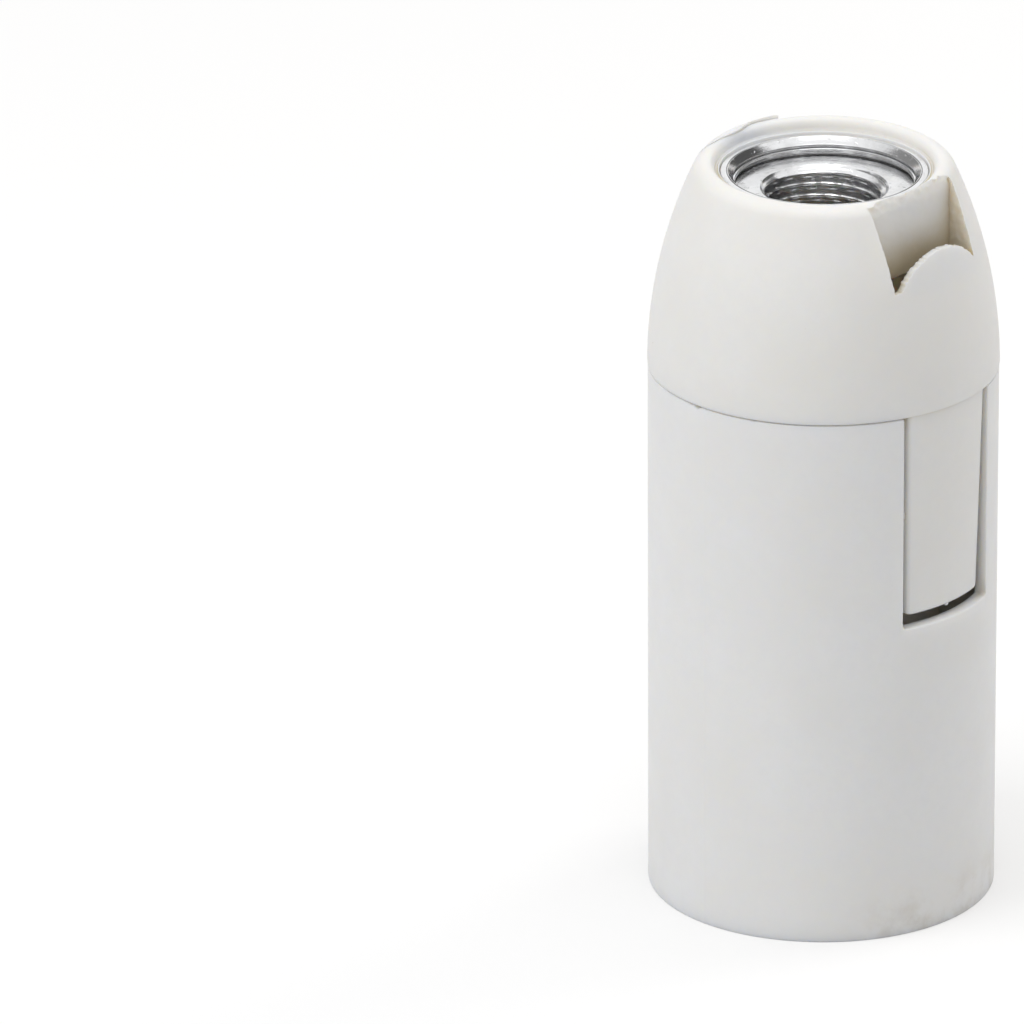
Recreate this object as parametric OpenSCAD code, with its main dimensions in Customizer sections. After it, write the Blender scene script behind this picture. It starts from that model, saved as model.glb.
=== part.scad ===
// A clip-on lamp holder of white plastic that stands on its open rim, in millimetres with +Z up.
// A straight sleeve carries the socket core for a small screwed lamp.
// A domed cap with a screwed metal pipe entry clips over the sleeve by two long tongues at +X and -X.

/* [Lamp thread] */
// Smallest diameter of the lamp thread
lamp_crest_d = 12.45; // [12.4:0.01:12.5]
// Largest diameter of the lamp thread
lamp_root_d = 13.97; // [13.92:0.01:14.02]
// Pitch of the lamp thread
lamp_pitch = 2.822; // [2.8:0.001:2.84]

/* [Sleeve] */
// Free depth for a tongue between the lamp tube and the sleeve's wall
tongue_bay = 3.5; // [3.4:0.05:3.8]
// Height of the sleeve, from its open rim to the cap
sleeve_h = 44.4; // [44:0.1:46]
// Thickness of the sleeve's wall
sleeve_wall = 1.1; // [1:0.05:1.2]
// Bevel on the edges of the sleeve's rims
rim_bevel = 0.2; // [0.1:0.05:0.3]
// Clearance beside a tongue in its slot
slot_side_gap = 0.55; // [0.4:0.05:0.7]
// Clearance below a tongue in its slot
slot_end_gap = 0.85; // [0.6:0.05:1]
// Radius of the slot's lower corners
slot_corner_r = 0.3; // [0.2:0.05:0.6]
// Height above the rim at which the sleeve's key ribs begin
key_rib_z = 15.2; // [15:0.1:17]
// Gap between a key rib and the line of the lamp tube's outside
key_rib_gap = 1; // [0.9:0.05:1.2]
// Width of a key rib
key_rib_w = 1.6; // [1.4:0.1:1.8]
// Distance of a key rib from the middle of its channel
key_rib_x = 2.9; // [2.8:0.05:3]
// Height of the short stops over the core's flange plates
stop_h = 5; // [3:0.5:6]

/* [Cap] */
// Height of the cap above the sleeve
cap_h = 17.6; // [17:0.1:17.8]
// Width of the cap's top round the metal entry, before its edge is rounded
cap_shoulder = 1.9; // [1.85:0.05:2]
// Radius of the rounding between the domed side and the flat top
cap_edge_r = 2; // [1.6:0.1:2]
// Thickness of the domed wall
cap_wall = 1.25; // [1.1:0.05:1.4]
// Thickness of the cap's solid top round the metal entry
cap_roof = 7.6; // [7.2:0.1:7.8]
// How far the cap's lower edge stands out beyond the sleeve
cap_overhang = 0.05; // [0.02:0.01:0.1]
// Height of the fine joint line between the cap and the sleeve
joint_line = 0.1; // [0.08:0.01:0.15]
// Height of the register ring that goes down inside the sleeve
register_h = 1.6; // [1:0.1:1.8]
// Clearance round the register ring
register_gap = 0.15; // [0.1:0.01:0.2]
// Width of a tongue at the cap
tongue_w = 8.8; // [8.6:0.1:9]
// How much each side of a tongue draws in towards its tip
tongue_draft = 0.3; // [0.1:0.05:0.4]
// How far a tongue's outer face leans inwards at its tip
tongue_lean = 0.4; // [0.2:0.05:0.5]
// Length of a tongue below the cap
tongue_l = 17.1; // [16.5:0.1:17.6]
// Thickness of a tongue
tongue_t = 1.6; // [1.4:0.05:1.7]
// Width of the pocket in the cap above each tongue
pocket_w = 9.5; // [9.2:0.1:9.8]
// Plastic left between the metal entry and the flat back wall of each pocket
pocket_rim = 0.8; // [0.7:0.05:0.9]
// Thickness of the knock-out wall in front of each pocket
knockout_t = 0.5; // [0.45:0.05:0.8]
// Width of the slit along the top of the pocket whose wall still stands
pocket_slit = 0.3; // [0.25:0.05:0.5]
// Height of the broken wall in front of the open pocket, at its middle
tab_top = 12.8; // [12.5:0.1:13.5]

/* [Pipe entry] */
// Width of the flat shelf between the entry's wide mouth and its pipe thread
mouth_shelf = 2.741; // [2.6:0.001:2.9]
// Width of the metal rim round the mouth
entry_rim = 1; // [0.9:0.05:1.1]
// Depth of the wide mouth
mouth_depth = 1.7; // [1.5:0.1:2]
// How far the metal rim lies below the cap's top
entry_recess = 1; // [0.8:0.1:1.1]
// Bevel between the flat shelf and the pipe thread
bore_bevel = 0.67; // [0.5:0.01:0.8]
// Smallest diameter of the entry's pipe thread, ten millimetres with one millimetre pitch
thread_bore_d = 8.918; // [8.9:0.001:8.94]
// Height of the metal entry
entry_h = 8.3; // [8:0.1:8.6]

/* [Socket core] */
// Height above the rim of the core's four flange plates
flange_z = 15.5; // [15.4:0.1:16]
// Thickness of the flange plates
flange_t = 2; // [1.6:0.1:2.2]
// How far the lamp tube stands out in front of the flange plates
tube_lead = 0.4; // [0.3:0.05:0.5]
// Wall of the lamp tube outside the thread's root
tube_wall = 2.415; // [2.3:0.005:2.5]
// Extra radius of the plain mouth before the lamp thread
tube_mouth_gap = 0.415; // [0.3:0.005:0.5]
// Length of the plain mouth before the lamp thread
tube_mouth_l = 1.9; // [1.6:0.1:2.2]
// Depth of the lamp tube behind its face
tube_depth = 14.3; // [14:0.1:14.6]
// Width of the two side channels through the lamp tube
channel_w = 8; // [7.8:0.1:8.2]
// Width that the core leaves free for each tongue
tongue_bay_w = 11.2; // [11:0.1:11.4]
// Clearance between the core and the sleeve
core_gap = 0.1; // [0.08:0.01:0.15]
// Thickness of the floor behind the lamp tube
floor_t = 2.6; // [2.4:0.1:2.8]
// Thickness of the deck that carries the terminals
deck_t = 2.4; // [2.2:0.1:2.6]
// Height of the insulating wall between the two terminals
barrier_h = 6.4; // [6:0.1:6.8]
// Height of the low walls beside each terminal
side_wall_h = 3.4; // [3:0.1:3.6]
// Thickness of the walls on the deck and of the webs below it
web_t = 1.2; // [1:0.1:1.4]

/* [Contacts and terminals] */
// Width of the centre contact's leaf
leaf_w = 6; // [5.6:0.1:6.2]
// Thickness of the spring leaves
leaf_t = 0.5; // [0.4:0.05:0.55]
// Gap in front of the core's floor in which the centre contact's leaf moves
leaf_room = 2; // [1.9:0.1:2.2]
// Height of the centre contact's turned-up root
root_h = 3; // [2.8:0.1:3.2]
// Height of the centre contact's turned-up free end
hook_h = 1; // [0.8:0.1:1.1]
// How far the centre contact's leaf crowns towards the lamp
leaf_crown = 0.6; // [0.4:0.05:0.7]
// Diameter of the round hole in the centre contact
leaf_hole_d = 2.3; // [2:0.1:2.6]
// Distance of that hole from the contact's root
leaf_hole_y = 2.1; // [2:0.1:2.4]
// Width of the side contact
side_w = 4; // [3.6:0.1:4.4]
// Length of the side contact below the core's floor
side_l = 10.6; // [10:0.1:11]
// How far the side contact's bow stands in past the thread's root
side_bow = 0.985; // [0.8:0.005:1.1]
// Thickness of the terminal strips
strip_t = 0.6; // [0.5:0.05:0.7]
// Width of the terminal strips
strip_w = 5.6; // [5.2:0.1:5.8]
// Distance of each terminal screw inwards from the line of the lamp tube's outside
screw_inset = 3.2; // [3:0.1:3.4]
// Diameter of the terminal screws' shanks
screw_d = 2.9; // [2.8:0.01:2.95]
// Diameter of the terminal screws' heads
screw_head_d = 5.4; // [5:0.1:5.6]
// Height of the terminal screws' heads
screw_head_h = 1.9; // [1.7:0.1:2.1]
// Length of the terminal screws' shanks
screw_l = 5; // [4.6:0.1:5.2]
// Width of the square clamp washers
washer_w = 5.6; // [5.2:0.1:5.8]
// Thickness of the clamp washers
washer_t = 0.8; // [0.7:0.05:0.9]

/* [Hidden] */
$fn = 72;
eps = 0.01;
white = [0.91, 0.92, 0.93];
cream = [0.93, 0.92, 0.89];
plated = [0.80, 0.81, 0.82];
brass = [0.72, 0.60, 0.32];

lamp_root_r = lamp_root_d / 2;
tube_r = lamp_root_r + tube_wall;
sleeve_in = tube_r + tongue_bay;
sleeve_r = sleeve_in + sleeve_wall;
tongue_tip_z = sleeve_h - tongue_l;
slot_z = tongue_tip_z - slot_end_gap;
slot_w = tongue_w + 2 * slot_side_gap;
key_rib_in = tube_r + key_rib_gap;
key_rib_depth = sleeve_in - key_rib_in;
key_rib_top = sleeve_h - register_h - joint_line - 1.7;
// The key rib at +Y begins this much higher than the one at -Y.
key_rib_step = 4.8;

mouth_r = thread_bore_d / 2 + mouth_shelf;
entry_r = mouth_r + entry_rim;
entry_body_r = entry_r - 0.7;
insert_fit = 0.02;
cap_r = sleeve_r + cap_overhang;
cap_z = sleeve_h + joint_line;
cap_top = sleeve_h + cap_h;
cap_inset = cap_r - entry_r - cap_shoulder;
cap_arc_r = (cap_h * cap_h + cap_inset * cap_inset) / (2 * cap_inset);
cap_ax = cap_r - cap_arc_r;
roof_z = cap_top - cap_roof;
pocket_back = entry_r + pocket_rim;
tongue_out = sleeve_r - 0.15;
tongue_in = tongue_out - tongue_t;
register_r = sleeve_in - register_gap;
register_t = 1.1;

entry_top = cap_top - entry_recess;
entry_z = entry_top - entry_h;
entry_rim_h = 1.4;
thread_top = entry_top - mouth_depth;

tube_z = flange_z - tube_lead;
floor_z = tube_z + tube_depth;
deck_z = floor_z + floor_t;
deck_top = deck_z + deck_t;
core_r = sleeve_in - core_gap;
bay_x = tube_r + 0.6;
web_az = 42;
stop_az = 60;
thread_columns = 16;
thread_steps = 26;

riser_out = tube_r + 0.1;
side_riser_in = tube_r - 0.7;
leaf_z = floor_z - leaf_room;
tip_y = leaf_w / 10;
screw_offset = tube_r - screw_inset;
slot_room = 1.1;
slot_depth = slot_room + strip_t + core_gap;
collar_r = screw_d / 2 + 0.75;
collar_h = strip_t * 2;
pad_in = screw_offset - collar_r - 1;
thread_gap = 0.05;
washer_z = deck_top + strip_t;
head_z = washer_z + washer_t + thread_gap;

// Radius of the domed side at a height above the sleeve, moved inwards by the given amount.
function dome_r(h, inwards = 0) = cap_ax + sqrt(pow(cap_arc_r - inwards, 2) - h * h);

// Centre of the rounding at the cap's top edge, and the angle at which it meets the domed side.
edge_h = cap_h - cap_edge_r;
edge_r = cap_ax + sqrt(pow(cap_arc_r - cap_edge_r, 2) - edge_h * edge_h);
edge_angle = asin(edge_h / (cap_arc_r - cap_edge_r));

// Points up the cap's surface from a height above the sleeve to its crest, moved inwards by the given amount.
dome_steps = 14;
edge_steps = 9;
function dome_outline(h_from, inwards = 0) = concat(
    [for (i = [0:dome_steps])
        let (low = asin(h_from / (cap_arc_r - inwards)), a = low + (edge_angle - low) * i / dome_steps)
        [cap_ax + (cap_arc_r - inwards) * cos(a), sleeve_h + (cap_arc_r - inwards) * sin(a)]],
    [for (i = [1:edge_steps])
        let (a = edge_angle + (90 - edge_angle) * i / edge_steps)
        [edge_r + (cap_edge_r - inwards) * cos(a), sleeve_h + edge_h + (cap_edge_r - inwards) * sin(a)]]
);

// A ring turned about the Z axis between two radii and two heights.
module ring(r_in, r_out, z_low, z_high) {
    translate([0, 0, z_low])
        difference() {
            cylinder(r = r_out, h = z_high - z_low);
            translate([0, 0, -eps])
                cylinder(r = r_in, h = z_high - z_low + 2 * eps);
        }
}

// A plate standing across the X axis, w wide in Y, from z_low up to z_high, with rounded lower corners.
module rounded_plate(w, z_low, z_high, corner, x_from, x_to) {
    translate([x_from, 0, 0])
        rotate([90, 0, 90])
            linear_extrude(height = x_to - x_from)
                union() {
                    translate([-w / 2, z_low + corner])
                        square([w, z_high - z_low - corner]);
                    translate([-w / 2 + corner, z_low])
                        square([w - 2 * corner, 2 * corner]);
                    for (side = [-1, 1])
                        translate([side * (w / 2 - corner), z_low + corner])
                            circle(r = corner);
                }
}

// A profile drawn in Y and Z, extruded symmetrically along X.
module across(w) {
    translate([-w / 2, 0, 0])
        rotate([90, 0, 90])
            linear_extrude(height = w)
                children();
}

module outer_sleeve() {
    color(white)
        union() {
            difference() {
                rotate_extrude()
                    polygon([
                        [sleeve_in, rim_bevel],
                        [sleeve_in + rim_bevel, 0],
                        [sleeve_r - rim_bevel, 0],
                        [sleeve_r, rim_bevel],
                        [sleeve_r, sleeve_h - rim_bevel / 2],
                        [sleeve_r - rim_bevel / 2, sleeve_h],
                        [sleeve_in, sleeve_h]
                    ]);
                for (turn = [0, 180])
                    rotate([0, 0, turn])
                        rounded_plate(slot_w, slot_z, sleeve_h + 2, slot_corner_r, 9, sleeve_r + 2);
            }
            sleeve_key_rib(0, key_rib_z);
            sleeve_key_rib(180, key_rib_z + key_rib_step);
            for (turn = [0, 180])
                for (side = [-1, 1])
                    rotate([0, 0, turn + side * stop_az])
                        sleeve_stop();
        }
}

// A rib inside the sleeve that keys into a side channel of the core, with a rounded inner edge.
module sleeve_key_rib(turn, z_low) {
    rib_r = key_rib_w / 2;
    rotate([0, 0, turn])
        translate([-key_rib_x, 0, z_low])
            union() {
                translate([-rib_r, -sleeve_in - 0.2, 0])
                    cube([key_rib_w, key_rib_depth - rib_r + 0.2, key_rib_top - z_low]);
                translate([0, -key_rib_in - rib_r, 0])
                    cylinder(r = rib_r, h = key_rib_top - z_low);
            }
}

// A short stop inside the sleeve that the core's flange plate seats under.
module sleeve_stop() {
    translate([sleeve_in - 1.2, -1, flange_z + flange_t])
        cube([1.5, 2, stop_h]);
}

module dome_cap() {
    color(cream)
        union() {
            difference() {
                union() {
                    cap_shell();
                    for (turn = [0, 180])
                        rotate([0, 0, turn])
                            tongue();
                }
                cap_pocket_open();
                rotate([0, 0, 180])
                    cap_pocket_closed();
            }
        }
}

// The domed wall, its thick top that falls to the entry, and the register ring inside its lower edge.
module cap_shell() {
    bore_r = entry_r + insert_fit;
    body_bore_r = entry_body_r + insert_fit;
    inner_low = dome_r(joint_line, cap_wall);
    fall = edge_r - bore_r;
    rotate_extrude()
        polygon(concat(
            dome_outline(joint_line),
            [
                [bore_r + 0.7 * fall, cap_top - 0.2 * entry_recess],
                [bore_r + 0.45 * fall, cap_top - 0.55 * entry_recess],
                [bore_r + 0.35 * fall, entry_top + 0.1],
                [bore_r, entry_top + 0.1],
                [bore_r, entry_top - entry_rim_h - insert_fit],
                [body_bore_r, entry_top - entry_rim_h - insert_fit],
                [body_bore_r, roof_z],
                [dome_r(roof_z - sleeve_h, cap_wall), roof_z]
            ],
            [for (i = [1:5])
                let (h = (roof_z - sleeve_h) * (1 - i / 6))
                [dome_r(h, cap_wall), sleeve_h + h]],
            [
                [inner_low, cap_z + 0.8],
                [register_r - register_t, cap_z + 0.2],
                [register_r - register_t, cap_z - register_h],
                [register_r - 0.3, cap_z - register_h],
                [register_r, cap_z - register_h + 0.3],
                [register_r, cap_z]
            ]
        ));
}

// One latch tongue that narrows and leans in towards its tip, with a bevelled tip and two side bumps.
module tongue() {
    tip_out = tongue_out - tongue_lean;
    half = tongue_w / 2;
    tip_half = half - tongue_draft;
    corner = 0.4;
    intersection() {
        rotate_extrude()
            polygon([
                [tongue_in, tongue_tip_z],
                [tip_out - 0.3, tongue_tip_z],
                [tip_out, tongue_tip_z + 0.3],
                [tongue_out, cap_z + 0.5],
                [tongue_in, cap_z + 2.2]
            ]);
        translate([6, 0, 0])
            rotate([90, 0, 90])
                linear_extrude(height = sleeve_r)
                    polygon([
                        [-tip_half + corner, tongue_tip_z - eps],
                        [tip_half - corner, tongue_tip_z - eps],
                        [tip_half, tongue_tip_z + corner],
                        [half, cap_z + 3],
                        [-half, cap_z + 3],
                        [-tip_half, tongue_tip_z + corner]
                    ]);
    }
    for (side = [-1, 1])
        intersection() {
            translate([0, side * (tip_half - 0.2), tongue_tip_z + tongue_l * 0.5])
                rotate([0, 90, 0])
                    cylinder(r = 0.5, h = sleeve_r);
            ring(tongue_in + 0.2, tip_out - 0.1, tongue_tip_z, cap_z);
        }
}

// The open pocket: its knock-out wall is left only as a round-topped tab.
module cap_pocket_open() {
    rise = tab_top - (roof_z - sleeve_h);
    tab_r = (pow(pocket_w / 2, 2) + rise * rise) / (2 * rise);
    difference() {
        pocket_block(10);
        intersection() {
            knockout_ring();
            translate([0, 0, sleeve_h + tab_top - tab_r])
                rotate([0, 90, 0])
                    cylinder(r = tab_r, h = 20);
        }
    }
}

// The pocket whose knock-out wall still stands, cracked along the top beside the pocket's back wall.
module cap_pocket_closed() {
    difference() {
        pocket_block(10);
        knockout_ring();
    }
    pocket_block(pocket_slit);
}

// A block that cuts a pocket through the cap's thick top, with its back wall at the pocket's back.
module pocket_block(depth) {
    translate([pocket_back, -pocket_w / 2, roof_z - 0.3])
        cube([depth, pocket_w, cap_roof + 2]);
}

// Everything outside the inner surface of the knock-out walls.
module knockout_ring() {
    rotate_extrude()
        polygon(concat(
            dome_outline(roof_z - sleeve_h - 1, knockout_t),
            [[edge_r, cap_top + 1], [sleeve_r + 2, cap_top + 1], [sleeve_r + 2, roof_z - 1]]
        ));
}

module threaded_entry() {
    bore_r = thread_bore_d / 2;
    color(plated)
        rotate_extrude()
            polygon([
                [bore_r, entry_z + 0.4],
                [bore_r + 0.4, entry_z],
                [entry_body_r - 1.2, entry_z],
                [entry_body_r - 1.2, roof_z - 0.5],
                [entry_body_r, roof_z + 0.2],
                [entry_body_r, roof_z + 1.6],
                [entry_body_r - 0.5, roof_z + 2],
                [entry_body_r - 0.5, roof_z + 3],
                [entry_body_r, roof_z + 3.4],
                [entry_body_r, entry_top - entry_rim_h],
                [entry_r, entry_top - entry_rim_h],
                [entry_r, entry_top - 0.15],
                [entry_r - 0.15, entry_top],
                [mouth_r + 0.2, entry_top],
                [mouth_r, entry_top - 0.2],
                [mouth_r, entry_top - 0.6],
                [mouth_r + 0.1, entry_top - 0.65],
                [mouth_r + 0.1, entry_top - 0.75],
                [mouth_r - 0.1, entry_top - 0.8],
                [mouth_r - 0.1, thread_top + 0.25],
                [mouth_r + 0.05, thread_top + 0.15],
                [mouth_r + 0.05, thread_top],
                [bore_r + bore_bevel, thread_top],
                [bore_r, thread_top - bore_bevel]
            ]);
}

// Radius of the lamp thread's surface at an angle and a height.
function lamp_r(angle, z) =
    (lamp_crest_d + lamp_root_d) / 4
    + (lamp_root_d - lamp_crest_d) / 4 * cos(angle - 360 * z / lamp_pitch);

// One half of the lamp tube, centred on +X, as a closed grid whose inner side carries the helical thread.
module thread_arc() {
    half = channel_w / 2;
    columns = thread_columns;
    steps = thread_steps;
    thread_z = tube_z + tube_mouth_l;
    top_z = floor_z + 0.2;
    heights = concat(
        [tube_z, thread_z - 0.15],
        [for (k = [0:steps]) thread_z + (top_z - thread_z) * k / steps]
    );
    rows = len(heights);
    out_end = asin(half / tube_r);
    function grid_angle(j, r) = (j / columns * 2 - 1) * acos(half / r);
    function surface_r(j, i) = i < 2
        ? lamp_root_r + tube_mouth_gap
        : let (guess = lamp_r(grid_angle(j, lamp_root_r), heights[i])) lamp_r(grid_angle(j, guess), heights[i]);
    function inner(j, i) =
        let (r = surface_r(j, i), a = grid_angle(j, r))
        [j == 0 || j == columns ? half : r * cos(a), r * sin(a), heights[i]];
    function outer(j, z) =
        let (a = (j / columns * 2 - 1) * (90 - out_end))
        [tube_r * cos(a), tube_r * sin(a), z];
    // The inner grid comes first, then the outer lower and upper rows, then the outer rows of both ends.
    points = concat(
        [for (i = [0:rows - 1]) for (j = [0:columns]) inner(j, i)],
        [for (j = [0:columns]) outer(j, heights[0])],
        [for (j = [0:columns]) outer(j, heights[rows - 1])],
        [for (i = [1:rows - 2]) outer(0, heights[i])],
        [for (i = [1:rows - 2]) outer(columns, heights[i])]
    );
    low = rows * (columns + 1);
    high = low + columns + 1;
    first_end = high + columns + 1;
    last_end = first_end + rows - 2;
    function at(j, i) = i * (columns + 1) + j;
    function end0(i) = i == 0 ? low : i == rows - 1 ? high : first_end + i - 1;
    function end1(i) = i == 0 ? low + columns : i == rows - 1 ? high + columns : last_end + i - 1;
    faces = concat(
        [for (i = [0:rows - 2]) for (j = [0:columns - 1]) [at(j, i), at(j, i + 1), at(j + 1, i + 1)]],
        [for (i = [0:rows - 2]) for (j = [0:columns - 1]) [at(j, i), at(j + 1, i + 1), at(j + 1, i)]],
        [for (j = [0:columns - 1]) [at(j, 0), at(j + 1, 0), low + j + 1]],
        [for (j = [0:columns - 1]) [at(j, 0), low + j + 1, low + j]],
        [for (j = [0:columns - 1]) [at(j, rows - 1), high + j + 1, at(j + 1, rows - 1)]],
        [for (j = [0:columns - 1]) [at(j, rows - 1), high + j, high + j + 1]],
        [for (i = [0:rows - 2]) [at(0, i), end0(i), at(0, i + 1)]],
        [for (i = [0:rows - 2]) [end0(i), end0(i + 1), at(0, i + 1)]],
        [for (i = [0:rows - 2]) [at(columns, i), at(columns, i + 1), end1(i)]],
        [for (i = [0:rows - 2]) [end1(i), at(columns, i + 1), end1(i + 1)]],
        [for (i = [0:rows - 2]) [low + 1, end0(i + 1), end0(i)]],
        [[low + 1, high + 1, high]],
        [for (i = [0:rows - 2]) [low + columns - 1, end1(i), end1(i + 1)]],
        [[low + columns - 1, high + columns, high + columns - 1]],
        [for (j = [1:columns - 2]) [low + j, low + j + 1, high + j + 1]],
        [for (j = [1:columns - 2]) [low + j, high + j + 1, high + j]]
    );
    polyhedron(points = points, faces = [for (f = faces) [f[2], f[1], f[0]]]);
}

module socket_core() {
    color(white)
        difference() {
            union() {
                for (turn = [0, 180])
                    rotate([0, 0, turn])
                        thread_arc();
                core_flanges();
                translate([0, 0, floor_z])
                    cylinder(r = tube_r + 0.2, h = deck_z - floor_z + eps);
                core_deck();
                for (turn = [0, 180])
                    for (side = [-1, 1])
                        rotate([0, 0, turn + side * web_az])
                            translate([tube_r - 0.4, -web_t / 2, flange_z + flange_t / 2])
                                cube([core_r - tube_r, web_t, deck_z - flange_z]);
                core_walls();
            }
            core_slot(-riser_out - slot_room);
            core_slot(side_riser_in - slot_room);
            for (side = [-1, 1])
                translate([0, side * screw_offset, floor_z + 1])
                    cylinder(r = collar_r + 0.3, h = deck_top - floor_z);
        }
}

// A slot through the core's floor and deck for the root of a contact and the riser of its strip.
module core_slot(y_from) {
    slot_gap = 0.2;
    translate([-leaf_w / 2 - slot_gap, y_from, floor_z - 1])
        cube([leaf_w + 2 * slot_gap, slot_depth, deck_top - floor_z + 2]);
}

// The four corner plates of the core that fill the sleeve beside the lamp tube.
module core_flanges() {
    difference() {
        ring(tube_r - 0.5, core_r, flange_z, flange_z + flange_t);
        translate([-channel_w / 2, -sleeve_r, flange_z - 1])
            cube([channel_w, 2 * sleeve_r, flange_t + 2]);
        translate([-sleeve_r, -tongue_bay_w / 2, flange_z - 1])
            cube([2 * sleeve_r, tongue_bay_w, flange_t + 2]);
    }
}

// The deck that carries the terminals, cut back beside the tongues and keyed to the sleeve's ribs.
module core_deck() {
    difference() {
        translate([0, 0, deck_z])
            cylinder(r = core_r, h = deck_top - deck_z);
        for (turn = [0, 180])
            rotate([0, 0, turn]) {
                translate([bay_x, -tongue_bay_w / 2, deck_z - 1])
                    cube([sleeve_r, tongue_bay_w, deck_top - deck_z + 2]);
                translate([-key_rib_x - key_rib_w / 2 - 0.15, -sleeve_r, deck_z - 1])
                    cube([key_rib_w + 0.3, sleeve_r - key_rib_in + 0.15, deck_top - deck_z + 2]);
            }
    }
}

// The insulating wall between the terminals and the two low walls beside each terminal.
module core_walls() {
    wall_x = washer_w / 2 + 0.6 + web_t / 2;
    translate([-bay_x + 0.5, -web_t / 2, deck_top - eps])
        cube([2 * bay_x - 1, web_t, barrier_h]);
    for (side = [-1, 1])
        translate([side * wall_x - web_t / 2, -riser_out, deck_top - eps])
            cube([web_t, 2 * riser_out, side_wall_h]);
}

// The centre contact: a leaf across the bottom of the lamp tube, with a turned-up root and free end.
module centre_contact() {
    bend = leaf_t * 0.7;
    crown_y = -lamp_root_r / 3;
    color(brass)
        difference() {
            across(leaf_w)
                polygon([
                    [-riser_out - leaf_t, leaf_z + root_h],
                    [-riser_out - leaf_t, leaf_z + bend],
                    [-riser_out - leaf_t + bend, leaf_z],
                    [-screw_offset, leaf_z - leaf_crown / 6],
                    [crown_y, leaf_z - leaf_crown],
                    [tip_y - bend, leaf_z - leaf_crown],
                    [tip_y, leaf_z - leaf_crown + bend],
                    [tip_y, leaf_z - leaf_crown + leaf_t + hook_h],
                    [tip_y - leaf_t, leaf_z - leaf_crown + leaf_t + hook_h],
                    [tip_y - leaf_t, leaf_z - leaf_crown + leaf_t],
                    [crown_y, leaf_z - leaf_crown + leaf_t],
                    [-screw_offset, leaf_z - leaf_crown / 6 + leaf_t],
                    [-riser_out, leaf_z + leaf_t],
                    [-riser_out, leaf_z + root_h]
                ]);
            translate([0, leaf_hole_y - riser_out, leaf_z - 2])
                cylinder(d = leaf_hole_d, h = 4);
        }
}

// The side contact: a bowed leaf that hangs in the other channel and presses on the lamp's shell.
module side_contact() {
    bow_y = lamp_root_r - side_bow;
    bow_z = floor_z - side_l * 0.7;
    flat = side_l * 0.1;
    root_top = floor_z + 2;
    color(brass)
        across(side_w)
            polygon([
                [side_riser_in, root_top],
                [side_riser_in - leaf_t, root_top],
                [side_riser_in - leaf_t, floor_z - leaf_t],
                [bow_y + leaf_t / 3, bow_z + flat],
                [bow_y, bow_z],
                [bow_y + leaf_t / 4, bow_z - flat],
                [bow_y + 2 * leaf_t, floor_z - side_l],
                [bow_y + 3 * leaf_t, floor_z - side_l + leaf_t / 4],
                [bow_y + leaf_t * 1.3, bow_z - flat + leaf_t / 4],
                [bow_y + leaf_t, bow_z],
                [bow_y + leaf_t * 1.35, bow_z + flat],
                [side_riser_in, floor_z - 1.2 * leaf_t]
            ]);
}

// A terminal strip: a riser from the contact's root, a pad on the deck, and a collar for the screw.
module terminal_strip(riser_from, riser_to, foot_z) {
    pad_z = deck_top;
    difference() {
        union() {
            translate([-strip_w / 2, riser_from, foot_z])
                cube([strip_w, riser_to - riser_from, pad_z + strip_t - foot_z]);
            translate([-strip_w / 2, pad_in, pad_z])
                cube([strip_w, riser_to - pad_in, strip_t]);
            translate([0, screw_offset, pad_z - collar_h])
                cylinder(r = collar_r, h = collar_h + eps);
        }
        translate([0, screw_offset, pad_z - collar_h - 1])
            cylinder(r = screw_d / 2 + thread_gap, h = collar_h + strip_t + 2);
    }
}

module centre_terminal() {
    color(brass)
        mirror([0, 1, 0])
            terminal_strip(riser_out - strip_t, riser_out, floor_z);
}

module side_terminal() {
    color(brass)
        terminal_strip(side_riser_in, side_riser_in + strip_t, floor_z + 0.4);
}

// A slotted terminal screw about the Z axis, with its shank in the strip's collar.
module terminal_screw(side) {
    bevel = 0.4;
    slot = 0.8;
    color(plated)
        translate([0, side * screw_offset, 0])
            difference() {
                union() {
                    translate([0, 0, head_z])
                        cylinder(d = screw_head_d, h = screw_head_h - bevel);
                    translate([0, 0, head_z + screw_head_h - bevel])
                        cylinder(d1 = screw_head_d, d2 = screw_head_d - 2 * bevel, h = bevel);
                    translate([0, 0, head_z - screw_l])
                        cylinder(d = screw_d, h = screw_l + eps);
                }
                translate([-slot / 2, -screw_head_d, head_z + screw_head_h / 2])
                    cube([slot, 2 * screw_head_d, screw_head_h]);
            }
}

module terminal_screw_centre() {
    terminal_screw(-1);
}

module terminal_screw_side() {
    terminal_screw(1);
}

// Two square clamp washers, each under its screw head and on its strip.
module clamp_washers() {
    color(plated)
        for (side = [-1, 1])
            translate([0, side * screw_offset, washer_z])
                difference() {
                    translate([-washer_w / 2, -washer_w / 2, 0])
                        cube([washer_w, washer_w, washer_t]);
                    translate([0, 0, -1])
                        cylinder(d = screw_d + 0.3, h = washer_t + 2);
                }
}

outer_sleeve();
dome_cap();
threaded_entry();
socket_core();
centre_contact();
side_contact();
centre_terminal();
side_terminal();
terminal_screw_centre();
terminal_screw_side();
clamp_washers();
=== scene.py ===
"""Looks of a clip-on lamp holder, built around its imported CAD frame, as a Blender add-on that is run as a script."""

from math import acos, asin, atan2, cos, degrees, hypot, pi, radians, sin, sqrt, tan

import bmesh
import bpy
from bpy.props import FloatProperty, FloatVectorProperty, IntProperty, PointerProperty
from mathutils import Matrix, Vector, noise


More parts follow.
